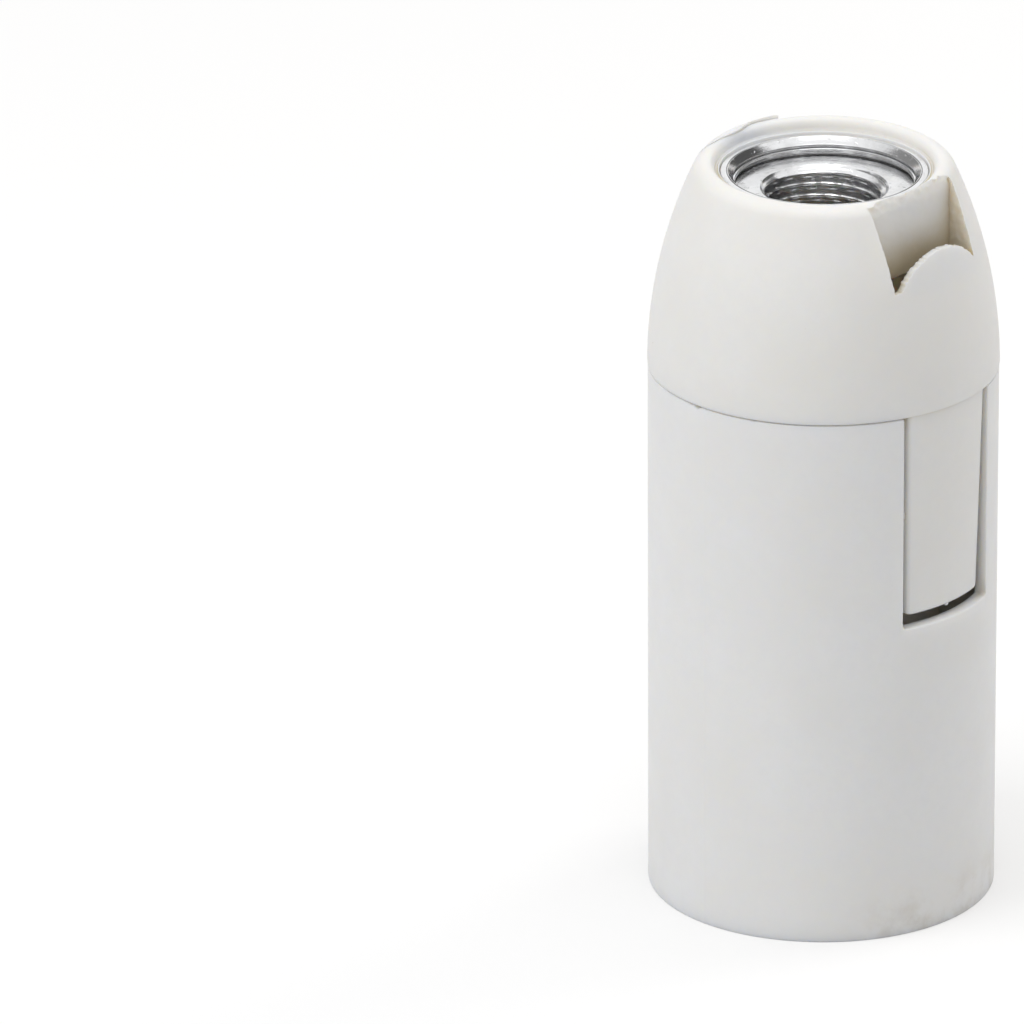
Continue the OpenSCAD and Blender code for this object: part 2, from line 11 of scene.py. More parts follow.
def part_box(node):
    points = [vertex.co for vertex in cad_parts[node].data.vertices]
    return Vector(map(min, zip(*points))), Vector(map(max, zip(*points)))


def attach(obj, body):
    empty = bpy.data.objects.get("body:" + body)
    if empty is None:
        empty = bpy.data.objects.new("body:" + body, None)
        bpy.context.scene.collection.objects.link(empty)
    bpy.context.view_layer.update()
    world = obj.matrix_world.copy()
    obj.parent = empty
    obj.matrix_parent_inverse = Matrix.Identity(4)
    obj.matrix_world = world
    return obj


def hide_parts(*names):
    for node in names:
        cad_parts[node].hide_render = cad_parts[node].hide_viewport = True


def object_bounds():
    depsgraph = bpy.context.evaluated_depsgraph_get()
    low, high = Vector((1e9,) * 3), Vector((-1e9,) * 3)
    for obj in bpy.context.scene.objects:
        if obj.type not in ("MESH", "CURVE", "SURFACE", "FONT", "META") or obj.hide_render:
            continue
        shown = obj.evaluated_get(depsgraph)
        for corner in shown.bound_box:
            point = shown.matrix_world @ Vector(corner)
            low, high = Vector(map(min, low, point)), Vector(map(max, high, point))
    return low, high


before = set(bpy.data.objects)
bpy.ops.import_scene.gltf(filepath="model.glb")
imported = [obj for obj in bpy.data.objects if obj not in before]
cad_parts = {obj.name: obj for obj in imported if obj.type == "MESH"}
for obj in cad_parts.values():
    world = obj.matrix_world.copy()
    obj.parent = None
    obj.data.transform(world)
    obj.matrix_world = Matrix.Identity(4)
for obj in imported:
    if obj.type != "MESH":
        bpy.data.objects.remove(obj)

bl_info = {
    "name": "Clip-on Lamp Holder",
    "version": (1, 0, 0),
    "blender": (4, 5, 0),
    "location": "View3D > Sidebar > Lamp Holder",
    "description": "Builds the finished surfaces of a clip-on lamp holder around its CAD frame",
    "category": "Object",
}

CAD_BOX = [list(corner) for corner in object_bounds()]
MM = 0.001
SLEEVE_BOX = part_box("outer_sleeve")
CAP_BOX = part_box("dome_cap")
ENTRY_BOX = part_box("threaded_entry")
WELD = 0.002 * MM


def length(name, description, default):
    """A length in metres."""
    return FloatProperty(
        name=name, description=description, default=default, min=0, unit="LENGTH", subtype="DISTANCE"
    )


def number(name, description, default, **limits):
    """A plain number."""
    return FloatProperty(name=name, description=description, default=default, **limits)


def colour(name, description, default):
    """A linear colour without alpha."""
    return FloatVectorProperty(
        name=name, description=description, default=default, size=3, min=0, max=1, subtype="COLOR"
    )


class SleeveSizes(bpy.types.PropertyGroup):
    """Sizes of the straight outer sleeve."""

    outer: length("Radius", "Outer radius of the sleeve", SLEEVE_BOX[1].x)
    height: length("Height", "Height of the sleeve", SLEEVE_BOX[1].z)
    wall: length("Wall", "Thickness of the sleeve's wall", 1.1 * MM)
    slot: length("Slot width", "Width of the slot that a tongue lies in", 9.9 * MM)
    slot_low: length("Slot foot", "Height of the slot's lower edge", 26.45 * MM)
    corner: length("Slot corner", "Radius of the slot's lower corners", 0.3 * MM)
    edge: length("Edge", "Rounding of the sleeve's edges", 0.1 * MM)
    rib_inner: length("Rib reach", "Distance from the axis to the key ribs' inner edges", 10.4 * MM)
    rib_low: length("Rib foot", "Height at which the key rib at -Y begins", 15.2 * MM)
    rib_step: length("Rib step", "How much higher the key rib at +Y begins", 4.8 * MM)
    rib_top: length("Rib top", "Height at which both key ribs end", 41 * MM)
    stop_low: length("Stop foot", "Height at which the short stops begin", 17.5 * MM)
    stop_tall: length("Stop height", "Height of a short stop", 5 * MM)
    ridge: length("Parting line", "Height of the fine line that the mould left", 0.035 * MM)


class CapSizes(bpy.types.PropertyGroup):
    """Sizes of the domed cap and its tongues."""

    outer: length("Radius", "Radius of the cap's lower edge", CAP_BOX[1].x)
    low: length("Lower edge", "Height of the cap's lower edge", SLEEVE_BOX[1].z + 0.1 * MM)
    top: length("Top", "Height of the cap's crest, on average", CAP_BOX[1].z - 0.49 * MM)
    shoulder: length("Shoulder", "Distance between the metal and where the domed side would end", 1.81 * MM)
    round: length("Top rounding", "Radius of the rounding between side and top", 1.35 * MM)
    lean: length("Lean", "How much higher the crest stands beside the cracked wall, and lower across from it", 0.3 * MM)
    lean_turn: number("Lean direction", "Where the crest is highest", radians(132), subtype="ANGLE")
    wall: length("Wall", "Thickness of the domed wall", 1.25 * MM)
    roof: length("Roof", "Thickness of the cap's top around the metal", 7.11 * MM)
    tongue: length("Tongue width", "Width of a tongue at the cap", 8.8 * MM)
    tongue_low: length("Tongue tip", "Height of the tongues' tips", CAP_BOX[0].z)
    tongue_thick: length("Tongue thickness", "Thickness of a tongue at the cap", 1.6 * MM)
    tongue_sink: length("Tongue depth", "How far a tongue lies below the sleeve's surface", 0.15 * MM)
    tongue_draft: length("Tongue draft", "How much each side draws in towards the tip", 0.3 * MM)
    tongue_lean: length("Tongue lean", "How far the outer face leans in at the tip", 0.4 * MM)
    pocket: length("Pocket depth", "Distance from the axis to a pocket's back wall", 9 * MM)
    pocket_wide: length("Pocket width", "Width of a pocket", 9.5 * MM)
    knockout: length("Knock-out wall", "Thickness of the wall in front of a pocket", 0.5 * MM)
    tab: length("Tab height", "Height of the broken tab's top above the sleeve", 12.65 * MM)
    tab_aside: length("Tab place", "How far the broken tab's top lies from the pocket's middle", 0.5 * MM)
    rough: length("Ragged edge", "Unevenness of the pockets' broken edges", 0.16 * MM)
    lift: length("Lifted wall", "How far the cracked knock-out wall stands out at its free corner", 0.34 * MM)


class EntrySizes(bpy.types.PropertyGroup):
    """Sizes of the turned metal pipe entry."""

    outer: length("Radius", "Radius of the entry's rim", ENTRY_BOX[1].x + 0.1 * MM)
    low: length("Foot", "Height of the entry's lower end", ENTRY_BOX[0].z)
    top: length("Top", "Height of the entry's rim", ENTRY_BOX[1].z - 0.28 * MM)
    mouth: length("Mouth", "Radius of the wide mouth", 7.2 * MM)
    mouth_depth: length("Mouth depth", "Depth of the wide mouth", 1.42 * MM)
    bevel: length("Bore bevel", "Bevel between the flat shelf and the thread", 0.13 * MM)
    bore: length("Thread crest", "Radius inside the pipe thread", 4.459 * MM)
    root: length("Thread root", "Radius at the pipe thread's root", 4.98 * MM)
    pitch: length("Pitch", "Pitch of the pipe thread", 1 * MM)


class CoreSizes(bpy.types.PropertyGroup):
    """Sizes of the socket core inside the sleeve."""

    outer: length("Radius", "Radius of the flange plates and of the deck", 12.8 * MM)
    tube: length("Tube radius", "Outer radius of the lamp tube", 9.4 * MM)
    low: length("Tube face", "Height of the lamp tube's face", 15.1 * MM)
    mouth: length("Mouth radius", "Radius of the plain mouth before the lamp thread", 7.4 * MM)
    mouth_deep: length("Mouth depth", "Length of the plain mouth", 1.9 * MM)
    crest: length("Thread crest", "Radius at the lamp thread's crest", 6.225 * MM)
    root: length("Thread root", "Radius at the lamp thread's root", 6.985 * MM)
    pitch: length("Pitch", "Pitch of the lamp thread", 2.822 * MM)
    channel: length("Channel width", "Width of the two side channels", 8 * MM)
    bay: length("Bay width", "Width left free for each tongue", 11.2 * MM)
    flange: length("Flange", "Height of the flange plates' lower face", 15.5 * MM)
    flange_thick: length("Flange thickness", "Thickness of the flange plates", 2 * MM)
    floor: length("Floor", "Height of the floor behind the lamp tube", 29.4 * MM)
    deck: length("Deck", "Height of the deck's lower face", 32 * MM)
    deck_top: length("Deck top", "Height of the deck's upper face", 34.4 * MM)
    barrier: length("Barrier", "Height of the wall between the terminals", 6.4 * MM)
    side_wall: length("Side walls", "Height of the low walls beside each terminal", 3.4 * MM)
    web: length("Web", "Thickness of the walls and webs", 1.2 * MM)


class MetalSizes(bpy.types.PropertyGroup):
    """Sizes of the contacts, terminals and screws."""

    leaf: length("Leaf thickness", "Thickness of the spring leaves", 0.5 * MM)
    strip: length("Strip thickness", "Thickness of the terminal strips", 0.6 * MM)
    strip_wide: length("Strip width", "Width of the terminal strips", 5.6 * MM)
    offset: length("Screw place", "Distance of each terminal screw from the axis", 6.2 * MM)
    shank: length("Shank radius", "Radius of the screws' shanks", 1.45 * MM)
    head: length("Head radius", "Radius of the screws' heads", 2.7 * MM)
    head_low: length("Head foot", "Height of the underside of the screws' heads", 35.85 * MM)
    head_tall: length("Head height", "Height of the screws' heads", 1.9 * MM)
    reach: length("Screw length", "Length of the screws' shanks", 5 * MM)
    washer: length("Washer width", "Width of the square clamp washers", 5.6 * MM)
    washer_thick: length("Washer thickness", "Thickness of the clamp washers", 0.8 * MM)


class Finishes(bpy.types.PropertyGroup):
    """Colours of the holder's finishes."""

    white: colour("White plastic", "Colour of the sleeve", (0.800, 0.799, 0.797))
    cream: colour("Cream plastic", "Colour of the cap", (0.800, 0.795, 0.782))
    core: colour("Core plastic", "Colour of the socket core", (0.780, 0.755, 0.700))
    grime: colour("Grime", "Colour of dirt and specks", (0.33, 0.24, 0.13))
    # The hollows colour is painted shade: the plastics mix towards it where ambient occlusion finds deep hollows.
    hollow: colour("Hollows", "Colour of the plastic deep in hollows, where it looks shaded", (0.58, 0.48, 0.29))
    plated: colour("Plated metal", "Colour of the plated entry", (0.86, 0.865, 0.875))
    brass: colour("Brass", "Colour of the contacts", (0.46, 0.32, 0.12))
    zinc: colour("Zinc", "Colour of the screws and washers", (0.62, 0.62, 0.60))


class StageSizes(bpy.types.PropertyGroup):
    """The camera's place, the lights and the floor."""

    azimuth: number("Azimuth", "Camera's direction around the object", radians(41.9), subtype="ANGLE")
    elevation: number("Elevation", "Camera's height above the horizon", radians(22.165), subtype="ANGLE")
    roll: number("Roll", "Turn of the camera about its own line of sight", radians(-0.3), subtype="ANGLE")
    distance: length("Distance", "From the camera to the object", 1.0)
    pixels: number("Scale", "Pixels of the picture for a metre at the object", 12484, min=1)
    place_x: number("Across", "Pixel column of the object's middle", 822.7)
    place_y: number("Down", "Pixel row of the object's middle", 516.05)
    key: number("Key lamp", "Power of the large soft lamp on the left", 1.9, min=0, unit="POWER")
    front: number("Front lamp", "Power of the weak soft lamp beside the camera", 0.4, min=0, unit="POWER")
    fill: number("Fill lamp", "Power of the soft lamp on the right", 1.08, min=0, unit="POWER")
    high: number("Top lamp", "Power of the soft lamp above", 1.3, min=0, unit="POWER")
    sky: number("Sky", "Strength of the even light from all sides", 0.6, min=0)


class LampHolder(bpy.types.PropertyGroup):
    """Everything that a user may change."""

    sleeve: PointerProperty(type=SleeveSizes)
    cap: PointerProperty(type=CapSizes)
    entry: PointerProperty(type=EntrySizes)
    core: PointerProperty(type=CoreSizes)
    metal: PointerProperty(type=MetalSizes)
    finish: PointerProperty(type=Finishes)
    stage: PointerProperty(type=StageSizes)


def add_node(tree, kind, inputs=None, **settings):
    """Adds a node. An input's value is a number, a colour, a datablock or another node's output socket."""
    node = tree.nodes.new(kind)
    for key, value in settings.items():
        setattr(node, key, value)
    for key, value in (inputs or {}).items():
        if isinstance(value, bpy.types.NodeSocket):
            tree.links.new(value, node.inputs[key])
        else:
            node.inputs[key].default_value = value
    return node


def maths(tree, operation, first, second=0.0, clamp=False):
    """The output of a Math node."""
    return add_node(
        tree, "ShaderNodeMath", {0: first, 1: second}, operation=operation, use_clamp=clamp
    ).outputs[0]


class Recipe:
    """One procedural material, with the steps that the finishes share."""

    def __init__(self, name):
        self.material = bpy.data.materials.new(name)
        self.material.use_nodes = True
        self.tree = self.material.node_tree
        self.tree.nodes.clear()
        self.shader = add_node(self.tree, "ShaderNodeBsdfPrincipled")
        self.surface = add_node(self.tree, "ShaderNodeOutputMaterial", {"Surface": self.shader.outputs[0]})
        self.place = add_node(self.tree, "ShaderNodeTexCoord").outputs["Object"]
        split = add_node(self.tree, "ShaderNodeSeparateXYZ", {0: self.place})
        self.x, self.y, self.z = split.outputs
        self.normal = None

    def set(self, **values):
        """Sets the shader's own sockets. An underscore in a name stands for a space."""
        for key, value in values.items():
            self.shader.inputs[key.replace("_", " ")].default_value = value

    def math(self, operation, first, second=0.0, clamp=False):
        return maths(self.tree, operation, first, second, clamp)

    def noise(self, size, detail=3.0, roughness=0.55, place=None, **settings):
        """Noise whose lumps are about the given size in metres."""
        inputs = {"Vector": place or self.place, "Scale": 1 / size, "Detail": detail, "Roughness": roughness}
        return add_node(self.tree, "ShaderNodeTexNoise", inputs, **settings).outputs[0]

    def ramp(self, value, low, high, start=0.0, end=1.0):
        """Carries value from the range low to high over to start to end, smoothly, and holds it there."""
        inputs = {"Value": value, "From Min": low, "From Max": high, "To Min": start, "To Max": end}
        return add_node(self.tree, "ShaderNodeMapRange", inputs, interpolation_type="SMOOTHSTEP").outputs[0]

    def mix(self, share, first, second):
        """Colour that goes from first to second."""
        node = add_node(self.tree, "ShaderNodeMix", data_type="RGBA")
        for key, value in ((0, share), (6, first), (7, second)):
            if isinstance(value, bpy.types.NodeSocket):
                self.tree.links.new(value, node.inputs[key])
            else:
                node.inputs[key].default_value = value if key == 0 else (*value, 1)
        return node.outputs[2]

    def bump(self, height, strength, distance):
        """Adds relief on top of what is there already."""
        inputs = {"Height": height, "Strength": strength, "Distance": distance}
        if self.normal:
            inputs["Normal"] = self.normal
        self.normal = add_node(self.tree, "ShaderNodeBump", inputs).outputs[0]

    def soft_edges(self, radius):
        """Lets light run over sharp edges as over a small rounding."""
        self.normal = add_node(self.tree, "ShaderNodeBevel", {"Radius": radius}, samples=6).outputs[0]

    def link(self, output, socket):
        self.tree.links.new(output, self.shader.inputs[socket])

    def done(self):
        if self.normal:
            self.link(self.normal, "Normal")
        return self.material


def plastic(name, tone, finish, edge, grain, hollow):
    """Moulded plastic: faint clouds, fine grain, scattered specks, and painted shade, a warmer, darker tone where
    ambient occlusion finds deep hollows.
    """
    recipe = Recipe(name)
    recipe.soft_edges(edge)
    clouds = recipe.ramp(recipe.noise(9 * MM, 4), 0.3, 0.75)
    warm = tuple(channel * share for channel, share in zip(tone, (0.98, 0.97, 0.95)))
    base = recipe.mix(clouds, tone, warm)
    fine = recipe.ramp(recipe.noise(0.9 * MM, 5, 0.7), 0.35, 0.7)
    faint = tuple(channel * 0.965 for channel in tone)
    base = recipe.mix(recipe.math("MULTIPLY", fine, 0.5), base, faint)
    dots = add_node(recipe.tree, "ShaderNodeTexVoronoi", {"Vector": recipe.place, "Scale": 1 / (2.6 * MM)})
    near = recipe.ramp(dots.outputs["Distance"], 0.012, 0.03, 1, 0)
    rare = recipe.ramp(add_node(recipe.tree, "ShaderNodeSeparateColor", {0: dots.outputs["Color"]}).outputs[0],
                       0.80, 0.86)
    specks = recipe.math("MULTIPLY", recipe.math("MULTIPLY", near, rare), 0.55)
    base = recipe.mix(specks, base, finish.grime)
    # Painted shade: ambient occlusion within 5 mm, from the piece itself only, mixes the colour towards the hollows
    # colour by the given strength, fading out between 6 and 9 mm towards -X.
    shade = add_node(recipe.tree, "ShaderNodeAmbientOcclusion", {"Distance": 5 * MM}, samples=8,
                     only_local=True).outputs["AO"]
    depth = recipe.math("MULTIPLY", recipe.ramp(shade, 0.2, 0.97, 1, 0), hollow)
    depth = recipe.math("MULTIPLY", depth, recipe.ramp(recipe.x, -9 * MM, -6 * MM))
    base = recipe.mix(depth, base, finish.hollow)
    recipe.base = base
    recipe.link(base, "Base Color")
    recipe.link(recipe.ramp(recipe.noise(3 * MM, 4), 0.3, 0.7, 0.40, 0.52), "Roughness")
    recipe.set(Subsurface_Weight=0.6, Subsurface_Scale=1.6 * MM, Subsurface_Radius=(1.0, 0.85, 0.6),
               Specular_IOR_Level=0.45)
    recipe.bump(recipe.noise(0.22 * MM, 3, 0.6), grain, 0.012 * MM)
    recipe.bump(recipe.noise(5 * MM, 2), 0.35, 0.05 * MM)
    return recipe


def white_plastic(finish):
    """The sleeve's plastic, with brown-grey smudges low on the side that was handled."""
    recipe = plastic("white_plastic", finish.white, finish, 0.10 * MM, 0.5, 0.85)
    low = recipe.ramp(recipe.z, 0.2 * MM, 5.5 * MM, 1, 0)
    side = recipe.ramp(recipe.math("ADD", recipe.x, recipe.math("MULTIPLY", recipe.y, 0.35)), 6 * MM, 13 * MM)
    patch = recipe.ramp(recipe.noise(2.6 * MM, 4, 0.6), 0.36, 0.72)
    smudge = recipe.math("MULTIPLY", recipe.math("MULTIPLY", low, side), patch)
    recipe.link(recipe.mix(recipe.math("MULTIPLY", smudge, 0.3), recipe.base, finish.grime), "Base Color")
    return recipe.done()


def cream_plastic(finish):
    return plastic("cream_plastic", finish.cream, finish, 0.09 * MM, 0.5, 0.9).done()


def core_plastic(finish):
    return plastic("core_plastic", finish.core, finish, 0.10 * MM, 0.35, 0.5).done()


def turned_metal(name, tone, dull, groove):
    """Metal turned on a lathe: fine rings about the Z axis, small burrs that sparkle, and painted shade that darkens
    its grooves.
    """
    recipe = Recipe(name)
    radius = recipe.math("SQRT", recipe.math("ADD", recipe.math("MULTIPLY", recipe.x, recipe.x),
                                             recipe.math("MULTIPLY", recipe.y, recipe.y)))
    across = add_node(recipe.tree, "ShaderNodeCombineXYZ", {0: radius, 2: recipe.z}).outputs[0]
    rings = recipe.noise(0.09 * MM, 4, 0.7, across)
    burrs = recipe.ramp(recipe.noise(0.35 * MM, 3, 0.6), 0.62, 0.74)
    stain = recipe.ramp(recipe.noise(2.2 * MM, 4, 0.6), 0.35, 0.75)
    # Painted shade: ambient occlusion within 0.35 mm darkens the colour towards near black in the grooves and thread
    # roots.
    shade = add_node(recipe.tree, "ShaderNodeAmbientOcclusion", {"Distance": 0.35 * MM}, samples=8).outputs["AO"]
    clean = recipe.mix(stain, tone, tuple(channel * 0.86 for channel in tone))
    recipe.link(recipe.mix(recipe.ramp(shade, 0.2, 0.6, 0.85, 0), clean, (0.05, 0.045, 0.04)), "Base Color")
    recipe.link(recipe.ramp(stain, 0, 1, dull, dull + 0.1), "Roughness")
    recipe.set(Metallic=1.0)
    recipe.bump(rings, groove, 0.01 * MM)
    recipe.bump(burrs, 0.8, 0.03 * MM)
    return recipe.done()


def plated_metal(finish):
    return turned_metal("plated_metal", finish.plated, 0.13, 0.55)


def screw_metal(finish):
    return turned_metal("screw_metal", finish.zinc, 0.24, 0.3)


def brass(finish):
    """Stamped brass with dull brown patches and fine rolling marks."""
    recipe = Recipe("brass")
    recipe.soft_edges(0.05 * MM)
    patch = recipe.ramp(recipe.noise(1.6 * MM, 6, 0.65), 0.35, 0.7)
    recipe.link(recipe.mix(patch, finish.brass, tuple(channel * 0.6 for channel in finish.brass)), "Base Color")
    recipe.link(recipe.ramp(patch, 0, 1, 0.30, 0.48), "Roughness")
    recipe.set(Metallic=1.0)
    lines = add_node(recipe.tree, "ShaderNodeMapping", {"Vector": recipe.place, "Scale": (1, 14, 14)})
    recipe.bump(recipe.noise(1.2 * MM, 3, 0.6, lines.outputs[0]), 0.4, 0.01 * MM)
    return recipe.done()


def polar(radius, angle, z):
    """A point at a radius, angle and height."""
    return (radius * cos(angle), radius * sin(angle), z)


def settled(bm):
    """Merges doubles and turns the faces outwards."""
    bmesh.ops.remove_doubles(bm, verts=bm.verts, dist=WELD)
    bmesh.ops.recalc_face_normals(bm, faces=bm.faces)
    return bm


def lofted(sections, capped=True):
    """A skin over sections with equally many points, each a closed loop, with flat ends."""
    bm = bmesh.new()
    rows = [[bm.verts.new(point) for point in section] for section in sections]
    for row, above in zip(rows, rows[1:]):
        for i in range(len(row)):
            j = (i + 1) % len(row)
            bm.faces.new((row[i], row[j], above[j], above[i]))
    if capped:
        bm.faces.new(rows[0])
        bm.faces.new(rows[-1])
    return settled(bm)


def flat_faced(bm):
    """The bmesh with its bent faces split into triangles, as the Booleans need them."""
    bmesh.ops.triangulate(bm, faces=bm.faces)
    return bm


def turned(profile, columns=256, closed=True):
    """A profile of (radius, height) points turned about Z. A closed one gives a ring."""
    angles = [2 * pi * i / columns for i in range(columns)]
    sections = [[polar(r, a, z) for a in angles] for r, z in profile]
    return lofted(sections + sections[:1] if closed else sections, capped=False)


def prism(outline, start, end, along="X"):
    """A flat outline made solid between two places on an axis: points are (y, z), (x, z) or (x, y)."""
    place = {
        "X": lambda u, v, w: (w, u, v),
        "Y": lambda u, v, w: (u, w, v),
        "Z": lambda u, v, w: (u, v, w),
    }[along]
    return lofted([[place(u, v, w) for u, v in outline] for w in (start, end)])


def rounded(points, radius, steps=3, closed=True):
    """An outline with arcs for corners, each no wider than its sides leave room for."""
    result = []
    for i, point in enumerate(points):
        corner = Vector(point)
        if not closed and i in (0, len(points) - 1):
            result.append(corner)
            continue
        back = Vector(points[i - 1]) - corner
        on = Vector(points[(i + 1) % len(points)]) - corner
        turn = back.angle(on)
        if turn > pi - 0.05:
            result.append(corner)
            continue
        reach = min(radius / tan(turn / 2), 0.45 * back.length, 0.45 * on.length)
        centre = corner + (back.normalized() + on.normalized()).normalized() * (reach / cos(turn / 2))
        first = corner + back.normalized() * reach - centre
        last = corner + on.normalized() * reach - centre
        sweep = atan2(first.cross(last), first.dot(last))
        for k in range(steps + 1):
            result.append(centre + Matrix.Rotation(sweep * k / steps, 2) @ first)
    return [tuple(point) for point in result]


def loose_object(bm):
    """A passing object that holds a bmesh."""
    mesh = bpy.data.meshes.new("passing")
    bm.to_mesh(mesh)
    bm.free()
    obj = bpy.data.objects.new("passing", mesh)
    bpy.context.scene.collection.objects.link(obj)
    return obj


def taken_from(obj):
    """The evaluated mesh of a passing object as a bmesh. The object is removed."""
    bpy.context.view_layer.update()
    mesh = bpy.data.meshes.new_from_object(obj.evaluated_get(bpy.context.evaluated_depsgraph_get()))
    bm = bmesh.new()
    bm.from_mesh(mesh)
    bpy.data.meshes.remove(mesh)
    bpy.data.meshes.remove(obj.data)
    return bm


def combined(body, tool, operation):
    """The body with the tool fused to it (UNION), cut from it (DIFFERENCE) or shared with it (INTERSECT)."""
    base, other = loose_object(body), loose_object(tool)
    boolean = base.modifiers.new("combine", "BOOLEAN")
    boolean.operation = operation
    boolean.solver = "EXACT"
    boolean.object = other
    bm = taken_from(base)
    bpy.data.meshes.remove(other.data)
    if not bm.faces:
        raise RuntimeError(f"nothing is left after {operation}")
    return bm


def block(low, high):
    """A plain box between two corners."""
    (x0, y0, z0), (x1, y1, z1) = low, high
    return prism([(x0, y0), (x1, y0), (x1, y1), (x0, y1)], z0, z1, "Z")


def rod(radius, low, high, x=0.0, y=0.0, columns=64):
    """A round rod that stands along Z."""
    circle = [(x + radius * cos(a), y + radius * sin(a)) for a in spread(0, 2 * pi, columns)[:-1]]
    return prism(circle, low, high, "Z")


def band(path, thick, bend, half):
    """A strip of sheet along a path of (y, z) points with rounded bends, as wide as twice the half."""
    line = [Vector(point) for point in rounded(path, bend, 6, closed=False)]
    sides = ([], [])
    for i, point in enumerate(line):
        back = (point - line[i - 1]).normalized() if i else Vector((0, 0))
        on = (line[i + 1] - point).normalized() if i + 1 < len(line) else Vector((0, 0))
        way = (back + on).normalized()
        across = Vector((-way.y, way.x))
        reach = thick / 2 / max(0.7, across.dot(Vector((-on.y, on.x)) if i + 1 < len(line) else across))
        sides[0].append(tuple(point + across * reach))
        sides[1].append(tuple(point - across * reach))
    return prism(sides[0] + sides[1][::-1], -half, half)


def bevelled(bm, width, segments=3, angle=40):
    """The bmesh with its sharp edges rounded."""
    obj = loose_object(bm)
    bevel = obj.modifiers.new("edges", "BEVEL")
    bevel.width = width
    bevel.segments = segments
    bevel.limit_method = "ANGLE"
    bevel.angle_limit = radians(angle)
    bevel.use_clamp_overlap = False
    return taken_from(obj)


def joined(*parts):
    """Several bmeshes as one, left as separate shells."""
    whole = bmesh.new()
    for part in parts:
        mesh = bpy.data.meshes.new("passing")
        part.to_mesh(mesh)
        part.free()
        whole.from_mesh(mesh)
        bpy.data.meshes.remove(mesh)
    return whole


def moved(bm, matrix):
    """The bmesh after a move."""
    bmesh.ops.transform(bm, matrix=matrix, verts=bm.verts)
    return bm


def turned_by(bm, angle):
    """The bmesh turned about the Z axis by an angle in degrees."""
    return moved(bm, Matrix.Rotation(radians(angle), 4, "Z"))


def finished(name, bm, material, body, nodes, smooth=34):
    """Makes the bmesh a piece that rides on its body, with its finish, in place of its CAD nodes."""
    mesh = bpy.data.meshes.new(name)
    bm.to_mesh(mesh)
    bm.free()
    mesh.shade_smooth()
    mesh.set_sharp_from_angle(angle=radians(smooth))
    mesh.materials.clear()
    mesh.materials.append(material)
    piece = bpy.data.objects.new(name, mesh)
    bpy.context.scene.collection.objects.link(piece)
    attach(piece, body)
    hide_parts(*nodes)
    return piece


def curved_wall(columns, heights, is_open, place, around):
    """A wall with an outer and an inner side. place(column, height, side) gives a point for each cell corner."""
    bm = bmesh.new()
    count = len(columns)
    cells = count if around else count - 1
    grid = {
        side: [[bm.verts.new(place(column, z, side)) for z in heights] for column in columns]
        for side in ("out", "in")
    }

    def solid(i, j):
        if around:
            i %= cells
        return 0 <= i < cells and 0 <= j < len(heights) - 1 and not is_open(columns[i], heights[j])

    def quad(*corners):
        bm.faces.new([grid[side][i % count][j] for side, i, j in corners])

    for i in range(cells):
        for j in range(len(heights) - 1):
            if not solid(i, j):
                continue
            quad(("out", i, j), ("out", i + 1, j), ("out", i + 1, j + 1), ("out", i, j + 1))
            quad(("in", i, j), ("in", i, j + 1), ("in", i + 1, j + 1), ("in", i + 1, j))
            if not solid(i, j - 1):
                quad(("out", i, j), ("in", i, j), ("in", i + 1, j), ("out", i + 1, j))
            if not solid(i, j + 1):
                quad(("out", i, j + 1), ("out", i + 1, j + 1), ("in", i + 1, j + 1), ("in", i, j + 1))
            if not solid(i - 1, j):
                quad(("out", i, j), ("out", i, j + 1), ("in", i, j + 1), ("in", i, j))
            if not solid(i + 1, j):
                quad(("out", i + 1, j), ("in", i + 1, j), ("in", i + 1, j + 1), ("out", i + 1, j + 1))
    loose = [vertex for vertex in bm.verts if not vertex.link_faces]
    bmesh.ops.delete(bm, geom=loose, context="VERTS")
    return settled(bm)


def spread(start, end, steps):
    """Evenly spaced values from start to end, with both."""
    return [start + (end - start) * i / steps for i in range(steps + 1)]


# Nicks in the sleeve's upper rim: middle and half width in degrees, and depth.
RIM_NICKS = (
    (-93.6, 1.6, 0.26 * MM),
    (-96.8, 0.8, 0.12 * MM),
    (-118.0, 0.9, 0.08 * MM),
    (-71.0, 0.7, 0.07 * MM),
    (128.0, 1.2, 0.10 * MM),
)


def nick_depth(angle):
    """How deep the sleeve's upper rim is chipped at an angle in degrees."""
    depth = 0
    for middle, half, deepest in RIM_NICKS:
        away = abs((angle - middle + 180) % 360 - 180) / half
        if away < 1:
            depth = max(depth, deepest * (1 - away ** 2) * (0.8 + 0.4 * noise.noise(Vector((angle, 0, 0)))))
    return depth


def sleeve_columns(half):
    """Places around the sleeve as (kind, share): across a slot the share is of its half width."""
    corner_steps = 5
    inner = half.slot / 2 - half.corner
    turns = [inner + half.corner * sin(pi / 2 * k / corner_steps) for k in range(1, corner_steps)]
    across = [-y for y in reversed(turns)] + spread(-inner, inner, 26) + turns
    between = spread(0, 1, 132)[:]
    fine = [0.5 - 0.0035, 0.5 + 0.0035]
    between = sorted(between + fine)
    columns = []
    for slot_turn, side_turn in ((0, 0), (pi, pi)):
        columns += [("slot", slot_turn, y) for y in [-half.slot / 2] + across]
        columns += [("side", side_turn, share) for share in between[:-1]]
    return columns


